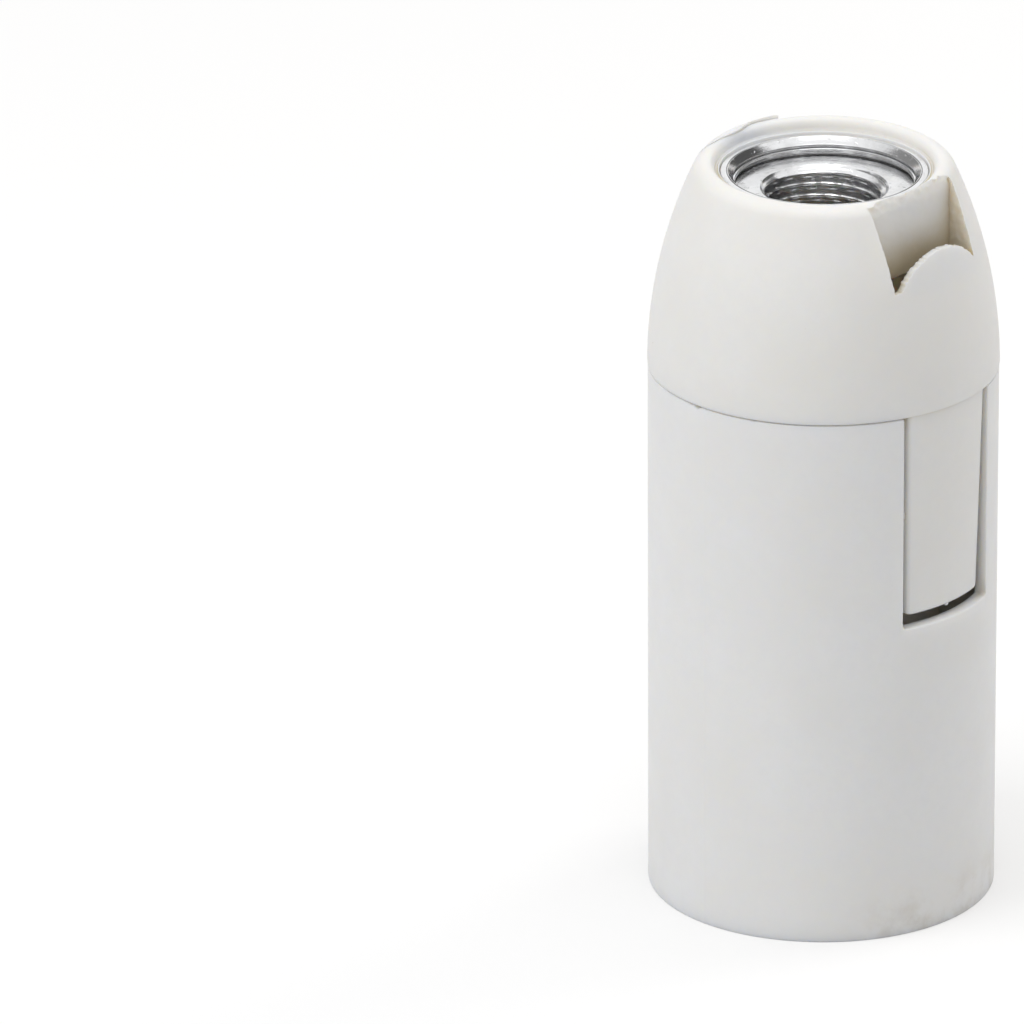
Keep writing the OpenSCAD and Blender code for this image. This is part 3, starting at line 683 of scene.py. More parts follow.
def build_sleeve(sizes):
    """The sleeve's wall with its two slots, as a bmesh."""
    half = sizes.slot / 2
    inner_r = sizes.outer - sizes.wall

    def angle_of(column, radius):
        kind, turn, value = column
        edge = asin(half / radius)
        return turn + (asin(value / radius) if kind == "slot" else edge + (pi - 2 * edge) * value)

    def rise(column):
        kind, _, value = column
        if kind == "slot":
            past = max(0, abs(value) - (half - sizes.corner))
            return sizes.corner - sqrt(max(0, sizes.corner ** 2 - past ** 2))
        near = min(value, 1 - value) / 0.09
        return sizes.corner * max(0, 1 - near)

    def place(column, z, side):
        radius = sizes.outer if side == "out" else inner_r
        angle = angle_of(column, radius)
        lift = rise(column) * max(0, 1 - abs(z - sizes.slot_low) / (6 * MM))
        if z >= sizes.height - 0.01 * MM:
            lift -= nick_depth(degrees(angle_of(column, sizes.outer)))
        if side == "out" and column[0] == "side" and abs(column[2] - 0.5) < 0.001:
            radius += sizes.ridge
        return polar(radius, angle, z + lift)

    def is_open(column, z):
        return column[0] == "slot" and z >= sizes.slot_low - 0.01 * MM and column[2] < half - 0.01 * MM

    heights = spread(0, sizes.slot_low, 16) + spread(sizes.slot_low, sizes.height, 12)[1:]
    wall = curved_wall(sleeve_columns(sizes), heights, is_open, place, around=True)
    return bevelled(wall, sizes.edge, 3, 35)


def key_rib(sizes, low, high):
    """A rib inside the sleeve at -Y, with a rounded inner edge."""
    middle, half = -2.9 * MM, 0.8 * MM
    foot = -(sizes.outer - sizes.wall + 0.2 * MM)
    outline = [(middle + half, foot)]
    outline += [(middle + half * cos(a), -sizes.rib_inner - half + half * sin(a)) for a in spread(0, pi, 10)]
    outline.append((middle - half, foot))
    return prism(outline, low, high, "Z")


def stop_block(sizes):
    """A short stop inside the sleeve at +X, with a sloped upper end."""
    wall = sizes.outer - sizes.wall
    inner, outer = wall - 1.2 * MM, wall + 0.3 * MM
    low, high = sizes.stop_low, sizes.stop_low + sizes.stop_tall
    outline = [(inner, low), (outer, low), (outer, high), (inner + 0.9 * MM, high), (inner, high - 0.9 * MM)]
    return prism(outline, -1 * MM, 1 * MM, "Y")


class LAMPHOLDER_OT_sleeve(bpy.types.Operator):
    """Builds the straight outer sleeve with its slots, ribs and stops"""

    bl_idname = "lamp_holder.sleeve"
    bl_label = "Outer sleeve"

    def execute(self, context):
        holder = context.scene.lamp_holder
        sizes = holder.sleeve
        wall = build_sleeve(sizes)
        for turn, low in ((0, sizes.rib_low), (180, sizes.rib_low + sizes.rib_step)):
            wall = combined(wall, turned_by(key_rib(sizes, low, sizes.rib_top), turn), "UNION")
        for turn in (60, -60, 120, -120):
            wall = combined(wall, turned_by(stop_block(sizes), turn), "UNION")
        finished("outer_sleeve_shell", wall, white_plastic(holder.finish), "shell",
                 ["outer_sleeve"])
        return {"FINISHED"}


def dome_arc(cap, entry):
    """The domed side's arc: its radius, its centre's distance from the axis, and the angle where the top begins."""
    height = cap.top - (cap.low - 0.1 * MM)
    inset = cap.outer - entry.outer - cap.shoulder
    arc = (height ** 2 + inset ** 2) / (2 * inset)
    return arc, cap.outer - arc, asin((height - cap.round) / (arc - cap.round)), height


def dome_outline(cap, entry, inwards=0.0, steps=44):
    """Points up the domed side and over its rounding to where the flat top begins."""
    arc, centre, meet, height = dome_arc(cap, entry)
    base = cap.top - height
    points = [(centre + (arc - inwards) * cos(a), base + (arc - inwards) * sin(a)) for a in spread(0, meet, steps)]
    low = cap.low - base
    points = [(r, max(z, base + low)) for r, z in points]
    turn_r = centre + (arc - cap.round) * cos(meet)
    turn_z = base + (arc - cap.round) * sin(meet)
    radius = cap.round - inwards
    points += [(turn_r + radius * cos(a), turn_z + radius * sin(a)) for a in spread(meet, pi / 2, 14)[1:]]
    return points


def cap_body(cap, entry):
    """The domed wall, its thick top that falls to the metal, and the ring inside its lower edge."""
    fit = 0.02 * MM
    base = cap.low - 0.1 * MM
    arc, centre, _, _ = dome_arc(cap, entry)
    roof = cap.top - cap.roof
    bore = entry.outer + fit
    body_bore = entry.outer - 0.7 * MM + fit
    register = cap.outer - 0.05 * MM - 1.1 * MM - 0.15 * MM

    def inner(z):
        return centre + sqrt((arc - cap.wall) ** 2 - (z - base) ** 2)

    outside = [(r, z) for r, z in dome_outline(cap, entry) if z > cap.low + 0.12 * MM]
    edge = [(cap.outer - 0.12 * MM, cap.low), (cap.outer - 0.035 * MM, cap.low + 0.035 * MM)]
    fall, sunk = outside[-1][0] - bore, cap.top - entry.top
    funnel = [(bore + fall * share, cap.top - sunk * drop) for share, drop in (
        (0.80, 0.05), (0.64, 0.18), (0.52, 0.36), (0.45, 0.56), (0.41, 0.76), (0.37, 0.92),
    )]
    bead = [(bore + out * MM, entry.top + up * MM) for out, up in (
        (0.19, 0.05), (0.15, 0.11), (0.09, 0.14), (0.03, 0.12), (0, 0.05),
    )]
    inside = [(bore, entry.top - 1.42 * MM), (body_bore, entry.top - 1.42 * MM), (body_bore, roof)]
    inside += [(inner(z), z) for z in spread(roof, cap.low + 0.8 * MM, 12)]
    inside += rounded([
        (register - 1.1 * MM, cap.low + 0.2 * MM), (register - 1.1 * MM, cap.low - 1.6 * MM),
        (register, cap.low - 1.6 * MM), (register, cap.low),
    ], 0.2 * MM, 3, closed=False)
    return turned(edge + outside + funnel + bead + inside, 288)


def kept_space(cap, entry, outline):
    """Everything outside the knock-out walls' inner surface, within an outline of (y, z) points."""
    low = cap.top - cap.roof - 1.5 * MM
    inner = [(r, z) for r, z in dome_outline(cap, entry, cap.knockout) if z > low]
    far, near = cap.outer + 2 * MM, cap.pocket - 0.6 * MM
    ring = turned([(far, low), (inner[0][0], low), *inner, (near, inner[-1][1]), (near, cap.top + 1 * MM),
                   (far, cap.top + 1 * MM)], 288)
    return combined(ring, prism(outline, 5 * MM, 20 * MM), "INTERSECT")


def jitter(x, y, z, size):
    """Repeatable unevenness between -1 and 1, with lumps of about the given size."""
    return noise.noise(Vector((x, y, z)) / size)


def pocket_cutter(cap, seed):
    """The pocket's space: flat walls below, and a ragged lip where it breaks through the top."""
    half = cap.pocket_wide / 2
    low = cap.top - cap.roof - 0.3 * MM
    levels = spread(low, cap.top - 1.6 * MM, 34) + spread(cap.top - 1.5 * MM, cap.top + 0.5 * MM, 16)
    sections = []
    for z in levels:
        share = 2.3 * min(1, max(0.06, 1 - (cap.top - z) / (1.2 * MM)))
        rough = cap.rough * share
        back = [(cap.pocket + rough * jitter(seed, y, z, 0.5 * MM) - rough * 0.5, y)
                for y in spread(-half, half, 56)]
        right = [(x, half + 0.45 * cap.rough * jitter(x, seed, z, 0.4 * MM)) for x in
                 spread(cap.pocket + 0.2 * MM, 14 * MM, 24)]
        left = [(x, -half - 0.45 * cap.rough * jitter(x, seed + 1, z, 0.4 * MM)) for x, _ in reversed(right)]
        sections.append([(x, y, z) for x, y in back + right + left])
    return flat_faced(lofted(sections))


# The crack along the top of the knock-out wall at -X: place along Y and distance from the Y axis, in millimetres.
CRACK = (
    (-4.75, 9.25), (-4.1, 9.09), (-3.0, 9.06), (-1.9, 9.12), (-1.35, 9.07), (-0.7, 9.06), (0.15, 9.10),
    (1.0, 9.30), (1.9, 9.52), (2.8, 9.48), (3.6, 9.20), (4.75, 9.07),
)


def crack_place(y):
    """How far the crack lies from the Y axis at a place along it."""
    for (low, start), (high, end) in zip(CRACK, CRACK[1:]):
        if y <= high * MM:
            share = (y - low * MM) / ((high - low) * MM)
            return (start + (end - start) * share) * MM + 0.04 * MM * jitter(y, 7, 0, 0.35 * MM)
    return CRACK[-1][1] * MM


def crack_cutter(cap):
    """A thin wavy blade that follows the crack, with an arm down the knock-out wall's free side."""
    half = cap.pocket_wide / 2
    inner, outer = [], []
    for y in spread(-half, half, 70):
        share = (y + half) / (2 * half)
        wide = (0.02 + 0.03 * share * (1.15 - share)) * MM * (1 + 0.5 * jitter(y, 2, 0, 0.5 * MM))
        middle = crack_place(y)
        inner.append((-(middle - wide), y))
        outer.append((-(middle + wide), y))
    top = prism(inner + outer[::-1], cap.top - 0.75 * MM, cap.top + 0.5 * MM, "Z")
    line = [(-12.5 * MM, half - 0.07 * MM), (-12.5 * MM, half), (-9.05 * MM, half), (-9.05 * MM, half - 0.07 * MM)]
    return top, prism(line, cap.top - 3.4 * MM, cap.top + 0.5 * MM, "Z")


def lifted(bm, cap, entry):
    """Bends the cracked knock-out wall at -X outwards, most at its free corner."""
    _, centre, meet, height = dome_arc(cap, entry)
    arc = cap.outer - centre
    half = cap.pocket_wide / 2
    base = cap.top - height
    turn_r, turn_z = centre + (arc - cap.round) * cos(meet), base + (arc - cap.round) * sin(meet)
    skin = cap.knockout + 0.02 * MM
    for vertex in bm.verts:
        x, y, z = vertex.co
        if x > -8 * MM or abs(y) > half - 0.065 * MM or z < cap.top - 4.5 * MM or -x < crack_place(y):
            continue
        r = hypot(x, y)
        if z > turn_z and r > turn_r:
            depth = cap.round - hypot(r - turn_r, z - turn_z)
        elif z > turn_z:
            depth = cap.top - z
        else:
            depth = arc - hypot(r - centre, z - base)
        if depth > skin:
            continue
        rise = min(1, (z - cap.top + 4.5 * MM) / (4 * MM)) ** 2
        share = min(1, max(0, (y + half) / (2 * half)))
        vertex.co += Vector((0.35 * x / r, 0.35 * y / r, 1)) * cap.lift * rise * share ** 1.3
    return bm


def leaning(bm, cap, entry):
    """Sets the crest a little higher on one side than on the other, with the ring around the metal kept level."""
    way = Vector((cos(cap.lean_turn), sin(cap.lean_turn)))
    low, tall = cap.top - 7.5 * MM, 7 * MM
    for vertex in bm.verts:
        x, y, z = vertex.co
        up = min(1, max(0, (z - low) / tall))
        out = min(1, max(0, (hypot(x, y) - entry.outer - 0.05 * MM) / (0.4 * MM)))
        share = up * up * (3 - 2 * up) * out * out * (3 - 2 * out)
        vertex.co.z += cap.lean * share * way.dot((x, y)) / (9.5 * MM)
    return bm


def tab_outline(cap):
    """The round-topped tab that is left in front of the open pocket, with its finely torn edge."""
    half = cap.pocket_wide / 2
    base = cap.low - 0.1 * MM
    rise = cap.tab - (cap.top - cap.roof - base)
    radius = (half ** 2 + rise ** 2) / (2 * rise)
    reach = pi - acos((radius - rise) / radius) if rise > radius else asin(half / radius)
    points = []
    for a in spread(-reach - 0.3, reach + 0.12, 140):
        torn = 0.65 * cap.rough * jitter(a * radius, 3, 0, 0.22 * MM)
        z = base + cap.tab - radius + (radius + torn) * cos(a)
        points.append((cap.tab_aside + (radius + torn) * sin(a), max(z, base + cap.tab - 2.5 * MM + 0.3 * torn)))
    low = cap.top - cap.roof - 2 * MM
    return [(points[0][0], low)] + points + [(points[-1][0], low)]


def tongue_section(outer, inner, half, z):
    """A tongue's outline at a height, with rounded edges, as points from its outer arc around to its inner one."""
    soft, fine = 0.4 * MM, 0.15 * MM
    meet_out = asin((half - soft) / (outer - soft))
    meet_in = asin((half - fine) / (inner + fine))
    side = [polar(outer, a, z) for a in spread(0, meet_out, 10)]
    for a in spread(meet_out, pi / 2, 5)[1:]:
        side.append(((outer - soft) * cos(meet_out) + soft * cos(a), half - soft + soft * sin(a), z))
    for a in spread(pi / 2, pi + meet_in, 4):
        side.append(((inner + fine) * cos(meet_in) + fine * cos(a), half - fine + fine * sin(a), z))
    side += [polar(inner, a, z) for a in spread(meet_in, 0, 10)[1:]]
    return side + [(x, -y, z) for x, y, z in side[-2:0:-1]]


def build_tongue(cap, sleeve):
    """One long latch tongue at +X that narrows and leans in towards its rounded tip."""
    face = sleeve.outer - cap.tongue_sink
    corner, tip = 0.4 * MM, 0.3 * MM
    free = cap.low - cap.tongue_low
    heights = [tip * (1 - cos(a)) for a in spread(0, pi / 2, 5)]
    heights += spread(tip, corner, 3)[1:] + spread(corner, free + 0.5 * MM, 16)[1:] + [free + 2.1 * MM]
    sections = []
    for h in heights:
        share = max(0, 1 - h / free)
        pinch = tip - sqrt(tip ** 2 - max(0, tip - h) ** 2)
        half = cap.tongue / 2 - cap.tongue_draft * share - corner + sqrt(corner ** 2 - max(0, corner - h) ** 2)
        outer = face - cap.tongue_lean * share - pinch
        if h > free + 1 * MM:
            outer = face - cap.tongue_thick + 0.45 * MM
        sections.append(tongue_section(outer, face - cap.tongue_thick + pinch, half, cap.tongue_low + h))
    return lofted(sections)


def tongue_bumps(cap, sleeve):
    """The two small bumps on a tongue's sides and the nib that the mould's gate left on its tip."""
    inner = sleeve.outer - cap.tongue_sink - cap.tongue_thick + 0.3 * MM
    outer = sleeve.outer - cap.tongue_sink - cap.tongue_lean - 0.1 * MM
    half = cap.tongue / 2 - cap.tongue_draft
    middle = cap.tongue_low + (cap.low - cap.tongue_low) / 2
    bumps = []
    for side in (-1, 1):
        ring = [(side * (half - 0.2 * MM) + 0.5 * MM * cos(a), middle + 0.5 * MM * sin(a))
                for a in spread(0, 2 * pi, 20)[:-1]]
        bumps.append(prism(ring, inner - 0.75 * MM, outer - 0.75 * MM))
    nib = bmesh.new()
    bmesh.ops.create_icosphere(nib, subdivisions=2, radius=0.2 * MM)
    bumps.append(moved(nib, Matrix.Translation((outer - 0.15 * MM, 0, cap.tongue_low + 0.02 * MM))))
    return bumps


class LAMPHOLDER_OT_cap(bpy.types.Operator):
    """Builds the domed cap with its two pockets and its two tongues"""

    bl_idname = "lamp_holder.cap"
    bl_label = "Domed cap"

    def execute(self, context):
        holder = context.scene.lamp_holder
        cap, entry = holder.cap, holder.entry
        half = cap.pocket_wide / 2
        body = cap_body(cap, entry)
        tab = kept_space(cap, entry, tab_outline(cap))
        body = combined(body, combined(pocket_cutter(cap, 5), tab, "DIFFERENCE"), "DIFFERENCE")
        low, high = cap.top - cap.roof - 2 * MM, cap.top + 2 * MM
        whole = [(-half - 1 * MM, low), (half + 1 * MM, low), (half + 1 * MM, high), (-half - 1 * MM, high)]
        hollow = combined(pocket_cutter(cap, 9), kept_space(cap, entry, whole), "DIFFERENCE")
        body = combined(body, turned_by(hollow, 180), "DIFFERENCE")
        for blade in crack_cutter(cap):
            body = combined(body, blade, "DIFFERENCE")
        body = leaning(lifted(body, cap, entry), cap, entry)
        for turn in (0, 180):
            for part in (build_tongue(cap, holder.sleeve), *tongue_bumps(cap, holder.sleeve)):
                body = combined(body, turned_by(part, turn), "UNION")
        finished("dome_cap_shell", body, cream_plastic(holder.finish), "cap", ["dome_cap"])
        return {"FINISHED"}


def thread_tree():
    """Geometry Nodes that make a helical thread as a tube about Z, with a plain circle at both ends."""
    tree = bpy.data.node_groups.new("helical_thread", "GeometryNodeTree")
    tree.is_modifier = True
    face = tree.interface
    face.new_socket("Geometry", in_out="OUTPUT", socket_type="NodeSocketGeometry")
    face.new_socket("Geometry", in_out="INPUT", socket_type="NodeSocketGeometry")
    for name, default in (
        ("Start", 0.0), ("Length", 6 * MM), ("Crest radius", 4.459 * MM), ("Root radius", 4.98 * MM),
        ("End radius", 4.459 * MM), ("Pitch", 1 * MM), ("Run-out", 0.4 * MM), ("Roundness", 0.0),
    ):
        face.new_socket(name, in_out="INPUT", socket_type="NodeSocketFloat").default_value = default
    for name, default in (("Columns", 192), ("Rows", 97)):
        face.new_socket(name, in_out="INPUT", socket_type="NodeSocketInt").default_value = default
    face.new_socket("Material", in_out="INPUT", socket_type="NodeSocketMaterial")
    given = tree.nodes.new("NodeGroupInput").outputs

    def math(operation, first, second=0.0, clamp=False):
        return maths(tree, operation, first, second, clamp)

    grid = add_node(tree, "GeometryNodeMeshGrid", {
        "Size X": 1.0, "Size Y": 1.0, "Vertices X": math("ADD", given["Columns"], 1), "Vertices Y": given["Rows"],
    })
    split = add_node(tree, "ShaderNodeSeparateXYZ", {0: add_node(tree, "GeometryNodeInputPosition").outputs[0]})
    turn = math("ADD", split.outputs[0], 0.5)
    share = math("ADD", split.outputs[1], 0.5)
    height = math("MULTIPLY", share, given["Length"])
    z = math("ADD", given["Start"], height)
    phase = math("SUBTRACT", math("DIVIDE", z, given["Pitch"]), turn)
    wave = math("MULTIPLY_ADD", math("COSINE", math("MULTIPLY", phase, 2 * pi)), 0.5)
    wave.node.inputs[2].default_value = 0.5
    saw = math("ABSOLUTE", math("SUBTRACT", math("MULTIPLY", math("FRACT", phase), 2.0), 1.0))
    flat = add_node(tree, "ShaderNodeMapRange", {"Value": saw, "From Min": 0.14, "From Max": 0.84}).outputs[0]
    shape = add_node(tree, "ShaderNodeMix", {0: given["Roundness"], 2: flat, 3: wave}).outputs[0]
    left = math("SUBTRACT", given["Length"], height)
    fade = math("DIVIDE", math("MINIMUM", height, left), given["Run-out"], clamp=True)
    thread = add_node(tree, "ShaderNodeMix", {0: shape, 2: given["Crest radius"], 3: given["Root radius"]})
    radius = add_node(tree, "ShaderNodeMix", {0: fade, 2: given["End radius"], 3: thread.outputs[0]}).outputs[0]
    angle = math("MULTIPLY", turn, 2 * pi)
    place = add_node(tree, "ShaderNodeCombineXYZ", {
        0: math("MULTIPLY", radius, math("COSINE", angle)), 1: math("MULTIPLY", radius, math("SINE", angle)), 2: z,
    })
    tube = add_node(tree, "GeometryNodeSetPosition", {"Geometry": grid.outputs[0], "Position": place.outputs[0]})
    tube = add_node(tree, "GeometryNodeMergeByDistance", {"Geometry": tube.outputs[0], "Distance": WELD})
    tube = add_node(tree, "GeometryNodeRealizeInstances", {"Geometry": tube.outputs[0]})
    tube = add_node(tree, "GeometryNodeSetMaterial", {"Geometry": tube.outputs[0], "Material": given["Material"]})
    add_node(tree, "NodeGroupOutput", {"Geometry": tube.outputs[0]})
    return tree


def grown(tree, values):
    """What a Geometry Nodes tree makes with these inputs, as a bmesh."""
    obj = loose_object(bmesh.new())
    modifier = obj.modifiers.new(tree.name, "NODES")
    modifier.node_group = tree
    for item in tree.interface.items_tree:
        if item.in_out == "INPUT" and item.name in values:
            modifier[item.identifier] = values[item.name]
    return taken_from(obj)


def threaded(profile, tree, values):
    """A turned piece whose bore or shank is a thread: the profile runs from the thread's upper end to its lower one."""
    skin = turned(profile, values["Columns"], closed=False)
    return settled(joined(skin, grown(tree, values)))


class LAMPHOLDER_OT_entry(bpy.types.Operator):
    """Builds the turned metal entry with its pipe thread"""

    bl_idname = "lamp_holder.entry"
    bl_label = "Threaded entry"

    def execute(self, context):
        holder = context.scene.lamp_holder
        entry = holder.entry
        roof = holder.cap.top - holder.cap.roof
        shelf = entry.top - entry.mouth_depth
        body = entry.outer - 0.8 * MM
        material = plated_metal(holder.finish)
        profile = rounded([
            (entry.root, shelf - entry.bevel),
            (entry.root + entry.bevel, shelf),
            (entry.mouth + 0.2 * MM, shelf),
            (entry.mouth + 0.2 * MM, shelf + 0.15 * MM),
            (entry.mouth - 0.1 * MM, shelf + 0.25 * MM),
            (entry.mouth - 0.1 * MM, entry.top - 0.84 * MM),
            (entry.mouth + 0.2 * MM, entry.top - 0.79 * MM),
            (entry.mouth + 0.2 * MM, entry.top - 0.64 * MM),
            (entry.mouth, entry.top - 0.57 * MM),
            (entry.mouth + 0.07 * MM, entry.top - 0.5 * MM),
            (entry.mouth + 0.46 * MM, entry.top),
            (entry.mouth + 0.50 * MM, entry.top),
            (entry.mouth + 0.51 * MM, entry.top - 0.1 * MM),
            (entry.mouth + 0.57 * MM, entry.top - 0.1 * MM),
            (entry.mouth + 0.58 * MM, entry.top),
            (entry.outer - 0.1 * MM, entry.top),
            (entry.outer, entry.top - 0.1 * MM),
            (entry.outer, entry.top - 1.4 * MM),
            (body, entry.top - 1.4 * MM),
            (body, roof + 3.4 * MM),
            (body - 0.5 * MM, roof + 3 * MM),
            (body - 0.5 * MM, roof + 2 * MM),
            (body, roof + 1.6 * MM),
            (body, roof + 0.2 * MM),
            (body - 1.2 * MM, roof - 0.5 * MM),
            (body - 1.2 * MM, entry.low),
            (entry.root + 0.4 * MM, entry.low),
            (entry.root, entry.low + 0.4 * MM),
        ], 0.06 * MM, 3, closed=False)
        values = {
            "Start": entry.low + 0.4 * MM, "Length": shelf - entry.bevel - entry.low - 0.4 * MM, "Crest radius": entry.bore,
            "Root radius": entry.root, "End radius": entry.root, "Pitch": entry.pitch, "Run-out": 0.3 * MM,
            "Columns": 192, "Rows": 121, "Material": material,
        }
        metal = threaded(profile, thread_tree(), values)
        finished("threaded_entry_metal", metal, material, "cap", ["threaded_entry"])
        return {"FINISHED"}


def core_tube(core, tree, material):
    """The lamp tube: a plain mouth and the helical lamp thread, cut through by the two side channels."""
    start, top = core.low + core.mouth_deep, core.floor + 0.3 * MM
    profile = rounded([
        (core.root, top), (core.tube, top), (core.tube, core.low), (core.mouth, core.low), (core.mouth, start),
        (core.root, start),
    ], 0.15 * MM, 3, closed=False)
    tube = threaded(profile, tree, {
        "Start": start, "Length": top - start, "Crest radius": core.crest, "Root radius": core.root,
        "End radius": core.root, "Pitch": core.pitch, "Run-out": 0.7 * MM, "Roundness": 1.0, "Columns": 160,
        "Rows": 96, "Material": material,
    })
    half = core.channel / 2
    channel = block((-half, -20 * MM, 10 * MM), (half, 20 * MM, core.floor + 0.05 * MM))
    return combined(tube, channel, "DIFFERENCE")


def core_plates(core):
    """The four flange plates beside the lamp tube, one with the round mark that an ejector pin left."""
    low, high = core.flange, core.flange + core.flange_thick
    soft = 0.15 * MM
    ring = turned([(core.tube - 0.5 * MM, low), (core.outer - soft, low), (core.outer, low + soft),
                   (core.outer, high), (core.tube - 0.5 * MM, high)], 160)
    for x, y in ((core.channel / 2, 20 * MM), (20 * MM, core.bay / 2)):
        ring = combined(ring, block((-x, -y, low - 1 * MM), (x, y, high + 1 * MM)), "DIFFERENCE")
    mark = turned([(0.94 * MM, low - 0.1 * MM), (1.03 * MM, low - 0.1 * MM), (1.03 * MM, low + 0.06 * MM),
                   (0.94 * MM, low + 0.06 * MM)], 40)
    return combined(ring, moved(mark, Matrix.Translation((-6.6 * MM, -8.6 * MM, 0))), "DIFFERENCE")


def core_deck(core, sleeve):
    """The floor and the deck above it, cut back beside the tongues and keyed to the sleeve's ribs."""
    deck = combined(rod(core.outer, core.deck, core.deck_top, columns=160),
                    rod(core.tube + 0.2 * MM, core.floor, core.deck + 0.1 * MM, columns=128), "UNION")
    low, high = core.deck - 1 * MM, core.deck_top + 1 * MM
    for turn in (0, 180):
        bay = block((core.tube + 0.6 * MM, -core.bay / 2, low), (20 * MM, core.bay / 2, high))
        key = block((-3.85 * MM, -20 * MM, low), (-1.95 * MM, -sleeve.rib_inner + 0.15 * MM, high))
        deck = combined(deck, turned_by(joined(bay, key), turn), "DIFFERENCE")
    return deck


def core_walls(core, metal):
    """The webs that hold the plates, the wall between the terminals and the low walls beside each one."""
    half = core.web / 2
    walls = [
        turned_by(block((core.tube - 0.4 * MM, -half, core.flange + 1 * MM),
                        (core.outer - 0.4 * MM, half, core.deck + 1 * MM)), turn)
        for turn in (42, -42, 138, -138)
    ]
    top, reach = core.deck_top, core.tube + 0.1 * MM
    walls.append(block((-reach, -half, top - 0.2 * MM), (reach, half, top + core.barrier)))
    for side in (-1, 1):
        x = side * (metal.washer / 2 + 0.6 * MM + half)
        walls.append(block((x - half, -reach, top - 0.2 * MM), (x + half, reach, top + core.side_wall)))
    return walls


def core_cuts(core, metal):
    """The two slots for the contacts' roots and the two wells for the strips' collars."""
    high = core.deck_top + 1 * MM
    half = 3.2 * MM
    cuts = [block((-half, y, core.floor - 1 * MM), (half, y + 1.8 * MM, high)) for y in (-10.6 * MM, 7.6 * MM)]
    cuts += [rod(2.5 * MM, core.floor + 1 * MM, high, y=side * metal.offset) for side in (-1, 1)]
    return cuts


class LAMPHOLDER_OT_core(bpy.types.Operator):
    """Builds the socket core with its lamp thread, flange plates, deck and walls"""

    bl_idname = "lamp_holder.core"
    bl_label = "Socket core"

    def execute(self, context):
        holder = context.scene.lamp_holder
        core, metal = holder.core, holder.metal
        material = core_plastic(holder.finish)
        body = combined(core_tube(core, thread_tree(), material), core_plates(core), "UNION")
        body = combined(body, core_deck(core, holder.sleeve), "UNION")
        for wall in core_walls(core, metal):
            body = combined(body, wall, "UNION")
        for space in core_cuts(core, metal):
            body = combined(body, space, "DIFFERENCE")
        finished("socket_core_body", body, material, "shell", ["socket_core"])
        return {"FINISHED"}


class LAMPHOLDER_OT_contacts(bpy.types.Operator):
    """Builds the two bent spring leaves"""

    bl_idname = "lamp_holder.contacts"
    bl_label = "Contact leaves"

    def execute(self, context):
        holder = context.scene.lamp_holder
        thick = holder.metal.leaf
        material = brass(holder.finish)
        path = [(-9.75, 30.4), (-9.75, 27.65), (-6.2, 27.55), (-2.33, 27.05), (0.35, 27.05), (0.35, 28.3)]
        centre = band([(y * MM, z * MM) for y, z in path], thick, 0.6 * MM, 3 * MM)
        centre = combined(centre, rod(1.15 * MM, 25 * MM, 30 * MM, y=-7.4 * MM, columns=48), "DIFFERENCE")
        path = [(8.45, 31.4), (8.45, 28.85), (6.42, 23.04), (6.25, 21.98), (6.39, 20.92), (7.25, 18.86)]
        side = band([(y * MM, z * MM) for y, z in path], thick, 1.2 * MM, 2 * MM)
        for name, bm, node in (("centre_contact_leaf", centre, "centre_contact"),
                               ("side_contact_leaf", side, "side_contact")):
            body = node.replace("contact", "leaf")
            finished(name, bevelled(bm, 0.05 * MM, 2, 40), material, body, [node])
        return {"FINISHED"}


def terminal_strip(metal, core, riser, low):
    """A strip at +Y that rises behind a contact's root and bends over the deck, with a collar for its screw."""
    middle = core.deck_top + metal.strip / 2
    path = [(riser, low), (riser, middle), (3 * MM, middle)]
    strip = band(path, metal.strip, 0.55 * MM, metal.strip_wide / 2)
    collar = rod(2.2 * MM, core.deck_top - 2 * metal.strip, core.deck_top + 0.1 * MM, y=metal.offset)
    strip = combined(strip, collar, "UNION")
    hole = rod(metal.shank + 0.05 * MM, core.deck_top - 3 * MM, core.deck_top + 2 * MM, y=metal.offset)
    return bevelled(combined(strip, hole, "DIFFERENCE"), 0.05 * MM, 2, 50)


class LAMPHOLDER_OT_terminals(bpy.types.Operator):
    """Builds the two terminal strips and the square clamp washers"""

    bl_idname = "lamp_holder.terminals"
    bl_label = "Terminal strips and washers"

    def execute(self, context):
        holder = context.scene.lamp_holder
        core, metal = holder.core, holder.metal
        yellow, zinc = brass(holder.finish), screw_metal(holder.finish)
        centre = turned_by(terminal_strip(metal, core, 9.2 * MM, core.floor), 180)
        side = terminal_strip(metal, core, 9 * MM, core.floor + 0.4 * MM)
        finished("centre_terminal_strip", centre, yellow, "shell", ["centre_terminal"])
        finished("side_terminal_strip", side, yellow, "shell", ["side_terminal"])
        half = metal.washer / 2
        low = core.deck_top + metal.strip
        washers = []
        for place in (-metal.offset, metal.offset):
            outline = rounded([(-half, place - half), (half, place - half), (half, place + half),
                               (-half, place + half)], 0.5 * MM, 4)
            plate = prism(outline, low, low + metal.washer_thick, "Z")
            hole = rod(metal.shank + 0.15 * MM, low - 1 * MM, low + 2 * MM, y=place)
            washers.append(bevelled(combined(plate, hole, "DIFFERENCE"), 0.08 * MM, 2, 50))
        finished("clamp_washer_plates", joined(*washers), zinc, "shell", ["clamp_washers"])
        return {"FINISHED"}


